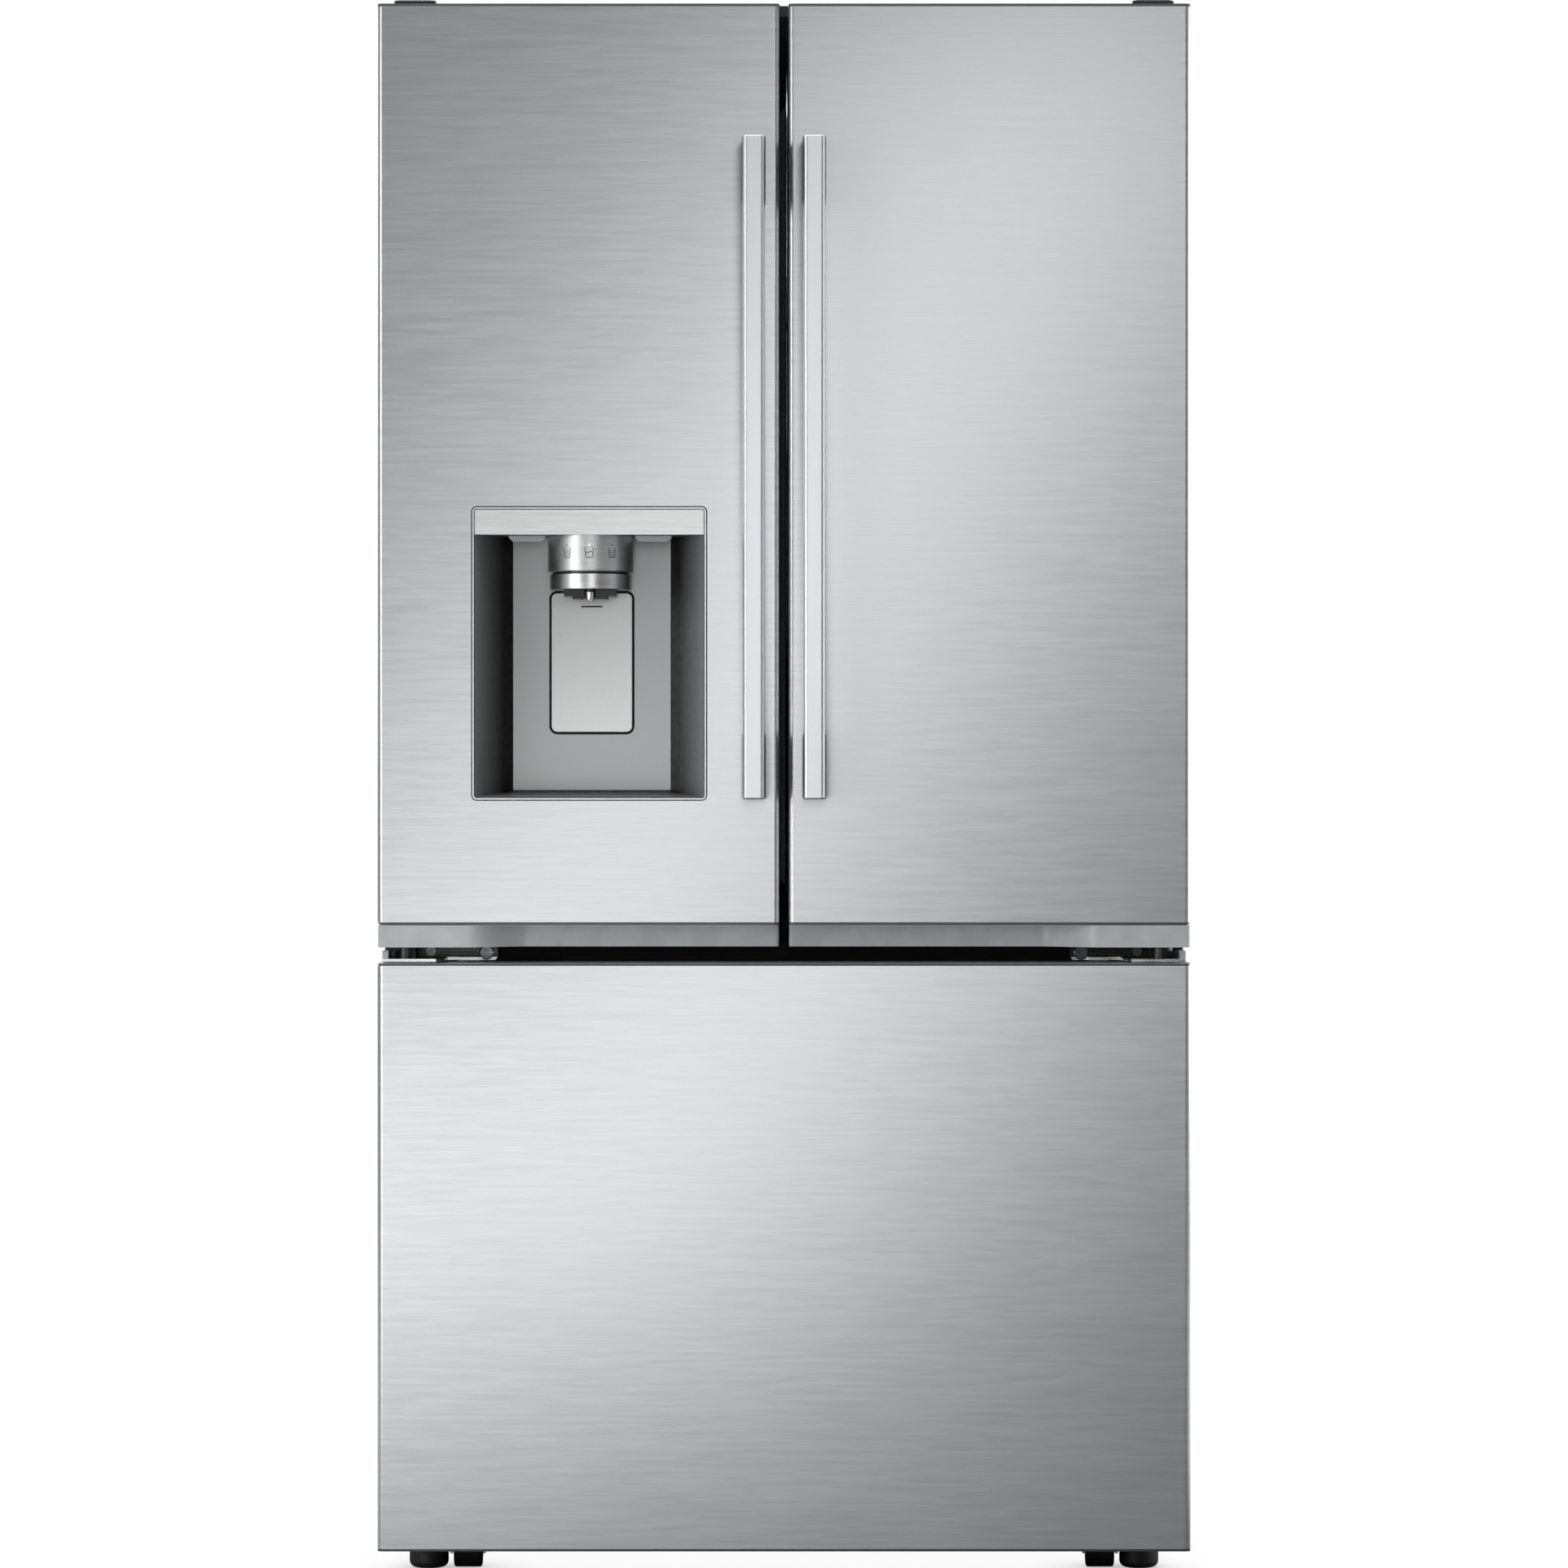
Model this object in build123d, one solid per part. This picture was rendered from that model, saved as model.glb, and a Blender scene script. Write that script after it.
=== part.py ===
"""French door refrigerator with a bottom freezer drawer and an ice and water dispenser.

Millimetres. +Z is up and -Y is the front. The origin is the middle of the footprint, on the floor.
Each function makes one sub-part, and the table at the end writes one STEP file for each.
"""

import os

from build123d import *

# ---------------------------------------------------------------- driving dimensions
WIDTH = 908.0  # across the doors and the drawer
DEPTH = 914.0  # back of the cabinet to the front of the handles
HEIGHT = 1784.0  # floor to the top of the hinge covers
HANDLE_REACH = 64.0  # how far the handles stand off the doors
DOOR_THICK = 88.0
SEAL_GAP = 12.0  # between the backs of the doors and the cabinet
DOOR_SPLIT = 10.0  # between the two doors
SHEET = 1.2  # steel sheet
PLASTIC = 2.0  # moulded walls
CLEAR = 0.2  # between pieces that lie in each other
RUNNING = 0.05  # radial clearance of a pin in its bore

# depths, front to back
Y_FRONT = -DEPTH / 2 + HANDLE_REACH  # face of the doors
Y_DOOR_BACK = Y_FRONT + DOOR_THICK
Y_CABINET = Y_DOOR_BACK + SEAL_GAP  # front flange of the cabinet
Y_BACK = DEPTH / 2

# heights
Z_SHELL = 48.0  # lower edge of the cabinet's side sheets
Z_FLOOR_PLATE = 66.0  # base plate under the insulation
BASE_PLATE = 4.0
Z_DRAWER = (38.5, 695.0)
Z_DOOR = (713.0, 1767.0)
Z_CASE_TOP = 1752.0
FOOT_CAP = 24.5  # height of the moulded cap under each door
FOOT_GROOVE = 1.5  # dark line over that cap
FOOT_BAND = 2.0  # grey band between the line and the steel

# plan of a door, and of its hinge
X_DOOR = WIDTH / 2
X_SPLIT = DOOR_SPLIT / 2
CORNER = 6.0  # radius of the folded steel corners
HINGE_X = X_DOOR - 30.0
HINGE_Y = Y_FRONT + 46.0
PIN_R = 7.0
BORE_R = PIN_R + RUNNING

# cabinet, and the two compartments inside it
X_CASE = 448.0
X_CAVITY = 405.0
FRIDGE = {"z": (735.0, 1700.0), "back": 400.0}
FREEZER = {"z": (118.0, 678.0), "back": 385.0, "step_z": 330.0, "step_back": 170.0}
MACHINE = {"y": 215.0, "z": 285.0}  # compressor space, at the back under the step


# ---------------------------------------------------------------- helpers
def block(x, y, z):
    """A box from three (low, high) pairs."""
    middle = Pos((x[0] + x[1]) / 2, (y[0] + y[1]) / 2, (z[0] + z[1]) / 2)
    return middle * Box(x[1] - x[0], y[1] - y[0], z[1] - z[0])


def rod_x(centre, radius, length):
    """A cylinder along X about its centre."""
    return Pos(*centre) * Rot(0, 90, 0) * Cylinder(radius, length)


def rod_y(x, y, z, radius):
    """A cylinder along Y from y[0] to y[1]."""
    return Pos(x, (y[0] + y[1]) / 2, z) * Rot(90, 0, 0) * Cylinder(radius, y[1] - y[0])


def rod_z(x, y, z, radius):
    """A vertical cylinder from z[0] to z[1]."""
    return Pos(x, y, (z[0] + z[1]) / 2) * Cylinder(radius, z[1] - z[0])


def prism(points, z):
    """A plan outline in X and Y, raised from z[0] to z[1]."""
    outline = make_face(Polyline(*points, close=True))
    return extrude(Pos(0, 0, z[0]) * outline, z[1] - z[0])


def side_prism(points, x):
    """A side outline in Y and Z, swept along X from x[0] to x[1]."""
    corners = [(x[0], y, z) for y, z in points]
    return extrude(make_face(Polyline(*corners, close=True)), x[1] - x[0], dir=(1, 0, 0))


def prism_xz(points, y):
    """A front outline in X and Z, swept along Y from y[0] to y[1]."""
    corners = [(x, y[0], z) for x, z in points]
    return extrude(make_face(Polyline(*corners, close=True)), y[1] - y[0], dir=(0, 1, 0))


def rounded_slab(x, y, z, radius):
    """A box whose two front vertical corners are rounded."""
    body = block(x, y, z)
    front = body.edges().filter_by(Axis.Z).group_by(Axis.Y)[0]
    return fillet(front, radius)


def ring_face(x, z, width, y):
    """A rectangular ring in the XZ plane, between y[0] and y[1]."""
    hole = block((x[0] + width, x[1] - width), y, (z[0] + width, z[1] - width))
    return block(x, y, z) - hole


def tray(x, y, z, wall):
    """A box with an open top, rounded at its upright corners."""
    corner = 10.0
    outside = block(x, y, z)
    outside = fillet(outside.edges().filter_by(Axis.Z), corner)
    inside = block((x[0] + wall, x[1] - wall), (y[0] + wall, y[1] - wall), (z[0] + wall, z[1] + wall))
    inside = fillet(inside.edges().filter_by(Axis.Z), corner - wall)
    return outside - inside


def mirrored(shape):
    """The same shape on the other side of the middle plane."""
    return mirror(shape, about=Plane.YZ)


def both(shape):
    """A piece and its mirror image, as two solids of one sub-part."""
    return pieces(shape, mirrored(shape))


def pieces(*shapes):
    """Several separate solids as one sub-part."""
    return Compound(children=[solid for shape in shapes for solid in shape.solids()])


# ---------------------------------------------------------------- cabinet
FLANGE_Y = (Y_CABINET, Y_CABINET + SHEET)
X_INNER = X_CASE - SHEET  # inside of the side sheets
CROSSBAR_Z = (FREEZER["z"][1], FRIDGE["z"][0])
CROSSBAR_THICK = 4.0


def cabinet_shell():
    """Side sheets, top sheet and the front flange round the two openings, folded from one sheet."""
    wrap = block((-X_CASE, X_CASE), (Y_CABINET, Y_BACK - SHEET), (Z_SHELL, Z_CASE_TOP))
    wrap -= block((-X_INNER, X_INNER), (FLANGE_Y[1], Y_BACK), (0, Z_CASE_TOP - SHEET))
    through = (Y_CABINET - SHEET, FLANGE_Y[1] + SHEET)
    for z in (FRIDGE["z"], FREEZER["z"]):
        wrap -= block((-X_CAVITY, X_CAVITY), through, z)
    wrap -= block((-X_INNER, X_INNER), through, CROSSBAR_Z)
    return wrap


def cabinet_back_panel():
    return block((-X_CASE, X_CASE), (Y_BACK - SHEET, Y_BACK), (MACHINE["z"], Z_CASE_TOP))


def cabinet_sheets():
    """The folded wrap, and the back sheet that closes it."""
    return pieces(cabinet_shell(), cabinet_back_panel())


def freezer_profile(inset):
    """Side outline of the freezer space, stepped over the compressor."""
    low, high = FREEZER["z"][0] + inset, FREEZER["z"][1] - inset
    front = Y_CABINET - (SHEET if inset else 0)
    step_y, step_z = FREEZER["step_back"] - inset, FREEZER["step_z"] + inset
    back = FREEZER["back"] - inset
    return [(front, low), (step_y, low), (step_y, step_z), (back, step_z), (back, high), (front, high)]


FOOT = {"x": 406.0, "y": -235.0, "stem_r": 8.0, "disc_r": 22.4}


def cabinet_foam():
    """Insulation between the sheets and the liners."""
    top = Z_CASE_TOP - SHEET
    bottom = Z_FLOOR_PLATE + BASE_PLATE
    body = block((-X_INNER, X_INNER), (FLANGE_Y[1], Y_BACK - SHEET), (bottom, top))
    x = (-X_CAVITY, X_CAVITY)
    body -= block(x, (Y_CABINET, FRIDGE["back"]), FRIDGE["z"])
    body -= side_prism(freezer_profile(0), x)
    body -= block((-X_INNER, X_INNER), (Y_CABINET, Y_CABINET + CROSSBAR_THICK), CROSSBAR_Z)
    body -= block(x, (MACHINE["y"], Y_BACK), (0, MACHINE["z"]))
    stem_room = rod_z(FOOT["x"], FOOT["y"], (bottom - 1, bottom + 22), FOOT["stem_r"] + 4)
    return body - stem_room - mirrored(stem_room)


SHELF_LEVELS = (1290.0, 1480.0)  # underside of the glass of the half-width shelves
PANTRY_COVER_Z = 856.0
CRISPER_COVER_Z = 1062.0
LEDGE = {"reach": 8.0, "thick": 5.0, "y": (-150.0, 376.0)}
RUNNER = {"reach": 13.0, "z": (519.0, 529.5), "y": (-230.0, 320.0)}


def fridge_liner():
    """Moulded inside of the fresh food space, with a ledge under each shelf."""
    y = (Y_CABINET, FRIDGE["back"])
    low, high = FRIDGE["z"]
    inner = X_CAVITY - PLASTIC
    liner = block((-X_CAVITY, X_CAVITY), y, (low, high))
    liner -= block((-inner, inner), (y[0] - 1, y[1] - PLASTIC), (low + PLASTIC, high - PLASTIC))
    for level in (PANTRY_COVER_Z, CRISPER_COVER_Z, *SHELF_LEVELS):
        ledge = block((inner - LEDGE["reach"], inner), LEDGE["y"], (level - LEDGE["thick"], level))
        liner += ledge + mirrored(ledge)
    return liner


def freezer_liner():
    """Moulded inside of the freezer, with a runner on each side for the upper basket."""
    inner = X_CAVITY - PLASTIC
    liner = side_prism(freezer_profile(0), (-X_CAVITY, X_CAVITY))
    liner -= side_prism(freezer_profile(PLASTIC), (-inner, inner))
    runner = block((inner - RUNNER["reach"], inner), RUNNER["y"], RUNNER["z"])
    return liner + runner + mirrored(runner)


def center_crossbar():
    """Front rail between the two compartments. Both the doors and the drawer seal on it."""
    return block((-X_INNER, X_INNER), (Y_CABINET, Y_CABINET + CROSSBAR_THICK), CROSSBAR_Z)


ROLLER = {"x": 361.0, "r": 24.0, "width": 32.0, "axle_r": 4.0}
ROLLER_Y = {"front": -235.0, "rear": 400.0}


def base_frame():
    """Base plate with the roller forks, the axles and the threaded bosses of the leveling feet."""
    plate_z = (Z_FLOOR_PLATE, Z_FLOOR_PLATE + BASE_PLATE)
    plate = block((-X_INNER, X_INNER), (FLANGE_Y[1], Y_BACK - SHEET), plate_z)
    fork_gap, fork_sheet, fork_low, fork_half = 1.2, 3.0, 17.0, 16.0
    side = ROLLER["width"] / 2 + fork_gap
    for y in ROLLER_Y.values():
        for sign in (-1, 1):
            x = sign * ROLLER["x"]
            axle = rod_x((x, y, ROLLER["r"]), ROLLER["axle_r"], 2 * (side + fork_sheet) + 4)
            plate += axle
            for edge in (x - side - fork_sheet, x + side):
                fork_y = (y - fork_half, y + fork_half)
                plate += block((edge, edge + fork_sheet), fork_y, (fork_low, Z_FLOOR_PLATE))
    rail = 4.0
    rail_z = (Z_SHELL, Z_FLOOR_PLATE)
    plate += block((-X_INNER, X_INNER), (FLANGE_Y[1], FLANGE_Y[1] + rail), rail_z)
    for edge in (-X_INNER, X_INNER - rail):
        plate += block((edge, edge + rail), (FLANGE_Y[1], Y_BACK - SHEET), rail_z)
    boss_r, boss_low = 14.0, 50.0
    for sign in (-1, 1):
        x = sign * FOOT["x"]
        plate += rod_z(x, FOOT["y"], (boss_low, Z_FLOOR_PLATE), boss_r)
        plate -= rod_z(x, FOOT["y"], (boss_low - 1, Z_FLOOR_PLATE + BASE_PLATE + 1), FOOT["stem_r"] + RUNNING)
    return plate


def leveling_foot(sign):
    """Wide screw foot under a front corner."""
    disc_high, stem_high, edge = 34.0, 68.0, 8.0
    disc = rod_z(sign * FOOT["x"], FOOT["y"], (0, disc_high), FOOT["disc_r"])
    disc = fillet(disc.edges().group_by(Axis.Z)[0], edge)
    disc = chamfer(disc.edges().group_by(Axis.Z)[-1], 1.5)
    return disc + rod_z(sign * FOOT["x"], FOOT["y"], (disc_high, stem_high), FOOT["stem_r"])


def rollers(y):
    """The two wheels of one axle line."""
    wheel = rod_x((ROLLER["x"], y, ROLLER["r"]), ROLLER["r"], ROLLER["width"])
    wheel = fillet(wheel.edges().filter_by(GeomType.CIRCLE), 3.0)
    wheel -= rod_x((ROLLER["x"], y, ROLLER["r"]), ROLLER["axle_r"] + RUNNING, ROLLER["width"] + 2)
    return both(wheel)


# ---------------------------------------------------------------- machine compartment
def machine_cover():
    """Slotted sheet that closes the back of the compressor space."""
    y = (Y_BACK - SHEET, Y_BACK)
    cover = block((-X_CASE, X_CASE), y, (Z_SHELL, MACHINE["z"] - CLEAR))
    slot_wide, slot_high, pitch, rows = 74.0, 5.0, 15.0, 9
    for centre in (-300.0, -210.0, 60.0, 150.0, 240.0, 330.0):
        for row in range(rows):
            low = 112.0 + pitch * row
            slot_x = (centre - slot_wide / 2, centre + slot_wide / 2)
            cover -= block(slot_x, (y[0] - 1, y[1] + 1), (low, low + slot_high))
    through = (y[0] - 1, y[1] + 1)
    cover -= rod_y(GLAND["x"], through, GLAND["z"], GLAND["r"])
    return cover - rod_y(INLET["x"], through, INLET["z"], INLET["window_r"])


GLAND = {"x": -70.0, "z": 245.0, "r": 9.0, "flange_r": 13.0, "bore_r": 4.2}
INLET = {"x": 385.0, "z": 250.0, "window_r": 14.0, "pin_r": 3.175, "pin_y": (432.0, 455.5)}


def power_cord_gland():
    """Rubber grommet that the supply lead passes through."""
    x, z = GLAND["x"], GLAND["z"]
    inside = Y_BACK - SHEET - CLEAR
    body = rod_y(x, (inside - 1, Y_BACK), z, GLAND["r"] - CLEAR)
    body += rod_y(x, (inside - 5, inside), z, GLAND["flange_r"])
    return body - rod_y(x, (inside - 6, Y_BACK + 1), z, GLAND["bore_r"])


def water_inlet_valve():
    """Solenoid valve with the quarter-inch tube stub that the house line joins."""
    x, z = INLET["x"], INLET["z"]
    body = block((x - 16, x + 16), (378.0, 420.0), (z - 22, z + 26))
    body = fillet(body.edges(), 3.0)
    nut = Pos(x, 426.0, z) * Rot(90, 0, 0) * extrude(RegularPolygon(9.0, 6), 6.0, both=True)
    return body + nut + rod_y(x, INLET["pin_y"], z, INLET["pin_r"])


def compressor():
    """Hermetic compressor on its foot plate and four grommets."""
    x, y = -225.0, 335.0
    z_floor = Z_FLOOR_PLATE + BASE_PLATE
    can = rod_z(x, y, (z_floor + 18, z_floor + 178), 72.0)
    can = fillet(can.edges().filter_by(GeomType.CIRCLE), 34.0)
    plate = block((x - 98, x + 98), (y - 60, y + 60), (z_floor + 12, z_floor + 19))
    for dx in (-84, 84):
        for dy in (-46, 46):
            plate += rod_z(x + dx, y + dy, (z_floor, z_floor + 22), 10.0)
    terminal = block((x + 60, x + 84), (y - 22, y + 22), (z_floor + 70, z_floor + 124))
    return can + plate + terminal


FAN = {"x": 20.0, "y": 335.0, "z": 172.0, "r": 74.0}


def condenser_coil():
    """Finned tube block beside the fan. The fins stand so close that it is one solid."""
    x, y, z = (88.0, 290.0), (255.0, 415.0), (84.0, 260.0)
    coil = block(x, y, z)
    for row in range(3):
        for column in range(3):
            centre = (sum(x) / 2, y[0] + 30 + 50 * row, z[0] + 30 + 58 * column)
            coil += rod_x(centre, 4.5, x[1] - x[0] + 24)
    foot = block(x, (y[0] + 6, y[0] + 10), (Z_FLOOR_PLATE + BASE_PLATE, z[0]))
    return coil + foot + Pos(0, y[1] - y[0] - 16, 0) * foot


def condenser_fan_shroud():
    """Panel with a round opening, three arms and the motor."""
    x, floor = FAN["x"], Z_FLOOR_PLATE + BASE_PLATE
    panel = block((x + 14, x + 18), (FAN["y"] - 84, FAN["y"] + 84), (floor, FAN["z"] + 84))
    panel -= rod_x((x + 16, FAN["y"], FAN["z"]), FAN["r"] + 2, 10)
    motor = rod_x((x + 34, FAN["y"], FAN["z"]), 22.0, 36)
    axle = rod_x((x + 6, FAN["y"], FAN["z"]), 3.0, 30)
    panel += motor + axle
    for angle in (90, 210, 330):
        arm = Pos(x + 18, FAN["y"], FAN["z"]) * Rot(angle, 0, 0) * Pos(0, 48, 0) * Box(8, 62, 8)
        panel += arm
    return panel


def condenser_fan_blade():
    """Hub with five pitched blades."""
    x, width = FAN["x"] - 4, 20.0
    hub = rod_x((x, FAN["y"], FAN["z"]), 17.0, width)
    for index in range(5):
        blade = Pos(0, 42, 0) * Rot(0, 32, 0) * Box(2.4, 58, 26)
        hub += Pos(x, FAN["y"], FAN["z"]) * Rot(72 * index, 0, 0) * blade
    return hub - rod_x((x, FAN["y"], FAN["z"]), 3.0 + RUNNING, width + 10)


# ---------------------------------------------------------------- hinges
HINGE_PLATE = 3.0
HINGE_PLATE_Z = Z_DOOR[1] + 1.0
BRACKET_X = (HINGE_X - 30.0, HINGE_X + 10.0)


def top_hinge_bracket():
    """Joggled plate: screwed to the case top, forward over the door, with the pin hanging from it."""
    riser_y = (Y_CABINET + 8, Y_CABINET + 8 + HINGE_PLATE)
    top = HINGE_PLATE_Z + HINGE_PLATE
    plate = block(BRACKET_X, (HINGE_Y - 14, riser_y[1]), (HINGE_PLATE_Z, top))
    plate += block(BRACKET_X, riser_y, (Z_CASE_TOP, top))
    plate += block(BRACKET_X, (riser_y[0], riser_y[0] + 86), (Z_CASE_TOP, Z_CASE_TOP + HINGE_PLATE))
    pin_low = Z_DOOR[1] - 26
    return plate + rod_z(HINGE_X, HINGE_Y, (pin_low, top), PIN_R)


def top_hinge_cover():
    """Moulded cover over the bracket, low at the front and full height over the case."""
    wall, front, knee, back = 2.0, HINGE_Y - 20, Y_CABINET - 7, Y_CABINET + 102
    over_door = Z_DOOR[1] + 0.8
    rear_lip = Y_CABINET + 4
    outline = [
        (front, over_door),
        (front, over_door + 5.7),
        (knee, HEIGHT),
        (back - 22, HEIGHT),
        (back, Z_CASE_TOP + 4),
        (back, Z_CASE_TOP),
        (rear_lip, Z_CASE_TOP),
        (rear_lip, over_door),
    ]
    hollow = [
        (front + wall, over_door - 1),
        (front + wall, over_door + 5.7 - wall),
        (knee, HEIGHT - wall),
        (back - 23, HEIGHT - wall),
        (back - wall, Z_CASE_TOP + 3),
        (back - wall, Z_CASE_TOP - 1),
        (rear_lip + wall, Z_CASE_TOP - 1),
        (rear_lip + wall, over_door - 1),
    ]
    x = (BRACKET_X[0] - 2.8, BRACKET_X[1] + 2.8)
    cover = side_prism(outline, x)
    slope = 9.0
    inner_side = prism_xz([(x[0], HEIGHT - slope), (x[0] + slope, HEIGHT), (x[0], HEIGHT)], (front, back))
    return cover - inner_side - side_prism(hollow, (x[0] + wall, x[1] - wall))


MID_PLATE_Z = (Z_DRAWER[1] + 1.0, Z_DRAWER[1] + 4.5)
LUG = {"x": 337.0, "z": 704.6, "r": 13.0}
FLANGE_THICK = 4.0


def middle_hinge_bracket():
    """Plate between a door and the drawer: it carries the lower pin, and is bolted to the crossbar."""
    flange_y = (Y_CABINET - FLANGE_THICK, Y_CABINET)
    under_door = Z_DOOR[0] - 0.5
    plate = prism(
        [
            (381.0, flange_y[1]),
            (381.0, HINGE_Y - 12),
            (390.0, HINGE_Y - 24),
            (450.0, HINGE_Y - 24),
            (450.0, flange_y[1]),
        ],
        MID_PLATE_Z,
    )
    flange = block((345.0, 446.0), flange_y, (MID_PLATE_Z[0], under_door))
    lip = block((345.0, 368.0), (flange_y[0] - 10, flange_y[1]), MID_PLATE_Z)
    stop = block((443.5, 450.0), (HINGE_Y + 18, HINGE_Y + 30), (MID_PLATE_Z[0], under_door))
    corner = (345.0, MID_PLATE_Z[1])
    gusset_outline = [corner, (corner[0] + 12, corner[1]), (corner[0], under_door - 2)]
    gusset = prism_xz(gusset_outline, (flange_y[0] - 7, flange_y[0]))
    lug = rod_y(LUG["x"], flange_y, LUG["z"], LUG["r"])
    lug &= block((300, 400), (flange_y[0], flange_y[1]), (MID_PLATE_Z[0], under_door))
    collar = rod_z(HINGE_X, HINGE_Y, (MID_PLATE_Z[1], under_door), 13.0)
    pin = rod_z(HINGE_X, HINGE_Y, (MID_PLATE_Z[0], Z_DOOR[0] + 20), PIN_R)
    return plate + flange + lip + gusset + stop + lug + collar + pin


def hinge_bolts():
    """Hex head screws of the top brackets and round head bolts of the middle ones."""
    made = []
    for y in (Y_CABINET + 32, Y_CABINET + 76):
        for x in (HINGE_X - 19, HINGE_X + 1):
            base = Z_CASE_TOP + HINGE_PLATE
            made.append(extrude(Pos(x, y, base) * RegularPolygon(6.0, 6), 5.0))
    head_y = Y_CABINET - FLANGE_THICK
    for x, z, radius in ((LUG["x"], LUG["z"], 7.2), (400.0, 706.0, 5.5), (424.0, 706.0, 5.5)):
        socket = Pos(x, head_y - 4, z) * Rot(90, 0, 0) * extrude(RegularPolygon(radius / 2, 6), 2, both=True)
        made.append(rod_y(x, (head_y - 4, head_y), z, radius) - socket)
    return both(pieces(*made))


# ---------------------------------------------------------------- inside the fresh food space
GLASS = 4.5
SHELF_Y = (-150.0, 372.0)
TRIM = {"deep": 12.0, "high": 14.0}


def shelf_panes():
    """(x, z) of every glass pane: two full-width covers, and two levels of half-width shelves."""
    wide = X_CAVITY - PLASTIC - 1.0
    found = [((-wide, wide), PANTRY_COVER_Z), ((-wide, wide), CRISPER_COVER_Z)]
    for level in SHELF_LEVELS:
        found += [((-wide, -3.0), level), ((3.0, wide), level)]
    return found


def glass_shelves():
    y = (SHELF_Y[0] + TRIM["deep"], SHELF_Y[1])
    return pieces(*[block((x[0] + 1, x[1] - 1), y, (z, z + GLASS)) for x, z in shelf_panes()])


def shelf_trims():
    """Front trim of each pane, and the side arms that carry the inner edges of the half shelves."""
    made = []
    for x, z in shelf_panes():
        high = (z - TRIM["high"] + GLASS + 2, z + GLASS + 2)
        inset = LEDGE["reach"] + 1.5
        bar = block((x[0] + inset, x[1] - inset), (SHELF_Y[0], SHELF_Y[0] + TRIM["deep"]), high)
        bar = fillet(bar.edges().filter_by(Axis.X), 3.0)
        if x[1] - x[0] < X_CAVITY:
            inner = x[1] - 7 if x[1] < 0 else x[0]
            arm = block((inner, inner + 7), (SHELF_Y[0] + TRIM["deep"], 386.0), (z - 12, z))
            arm_front = block((inner, inner + 7), (SHELF_Y[0] + 4, SHELF_Y[0] + TRIM["deep"]), (z - 7, z + 4))
            bar = bar + arm_front + arm
        made.append(bar)
    return pieces(*made)


DRAWER_Y = (-160.0, 366.0)
TRAY_WALL = 3.0


def handled_tray(x, z):
    """Clear drawer with a pull lip along the top of its front."""
    box = tray(x, DRAWER_Y, z, TRAY_WALL)
    grip = block((x[0] + 30, x[1] - 30), (DRAWER_Y[0] - 7, DRAWER_Y[0]), (z[1] - 22, z[1] - 14))
    return box + grip


def interior_drawers():
    """Full-width pantry drawer and two crispers."""
    wide = X_CAVITY - PLASTIC - LEDGE["reach"] - 2.0
    pantry = handled_tray((-wide, wide), (740.0, 838.0))
    crisper_z = (PANTRY_COVER_Z + GLASS + 3, 1042.0)
    return pieces(pantry, handled_tray((-wide, -3.0), crisper_z), handled_tray((3.0, wide), crisper_z))


def fridge_air_duct():
    """Back panel that spreads the cold air, with pairs of slots."""
    y = (386.5, FRIDGE["back"] - PLASTIC)
    duct = block((-75, 75), y, (1080.0, 1680.0))
    duct = fillet(duct.edges().filter_by(Axis.Y), 10.0)
    for z in range(1130, 1660, 60):
        for x in (-40, 40):
            duct -= block((x - 22, x + 22), (y[0] - 1, y[0] + 5), (z, z + 8))
    return duct


def interior_light():
    lens = block((-130, 130), (-70, 30), (1689.0, FRIDGE["z"][1] - PLASTIC))
    return fillet(lens.edges().filter_by(Axis.Z), 12.0)


# ---------------------------------------------------------------- doors
SKIN = 1.0
CAP_PLATE = 3.0
CAP_PLUG = 20.0
SKIN_Z = (Z_DOOR[0] + FOOT_CAP + FOOT_GROOVE + FOOT_BAND, Z_DOOR[1] - CAP_PLATE)
PLUG_TOP = SKIN_Z[0] + 12.0
DIKE = {"x": (56.0, 400.0), "z": (743.0, 1690.0), "wall": 28.0, "deep": 43.0}
BIN_X = (DIKE["x"][0] + DIKE["wall"] + 0.5, DIKE["x"][1] - DIKE["wall"] - 0.5)
BIN_BACK_CLEAR = 0.2
BIN_Y = (Y_DOOR_BACK + BIN_BACK_CLEAR, Y_DOOR_BACK + 100.0)


def folded_skin(x, z):
    """Steel front sheet with both sides folded back round a small radius."""
    outside = rounded_slab(x, (Y_FRONT, Y_DOOR_BACK - 4), z, CORNER)
    inner_y = (Y_FRONT + SKIN, Y_DOOR_BACK)
    return outside - rounded_slab((x[0] + SKIN, x[1] - SKIN), inner_y, (z[0] - 1, z[1] + 1), CORNER - SKIN)


def filling(x, z):
    """What fills a skin from behind, a little smaller than its inside."""
    gap = SKIN + CLEAR
    return rounded_slab((x[0] + gap, x[1] - gap), (Y_FRONT + gap, Y_DOOR_BACK), z, CORNER - SKIN)


def inset_layer(x, z, inset):
    """A layer of a door or drawer that lies back from the steel's face and sides."""
    return rounded_slab((x[0] + inset, x[1] - inset), (Y_FRONT + inset, Y_DOOR_BACK), z, CORNER - inset)


RIGHT_X = (X_SPLIT, X_DOOR)


def door_skin():
    return folded_skin(RIGHT_X, SKIN_Z)


def left_door_skin():
    """The right skin's mirror image, with the dispenser opening cut in it."""
    opening = block(DISPENSER_X, (Y_FRONT - 1, Y_FRONT + SKIN + 1), DISPENSER_Z)
    opening = fillet(opening.edges().filter_by(Axis.Y), BEZEL_R)
    return mirrored(door_skin()) - opening


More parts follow.
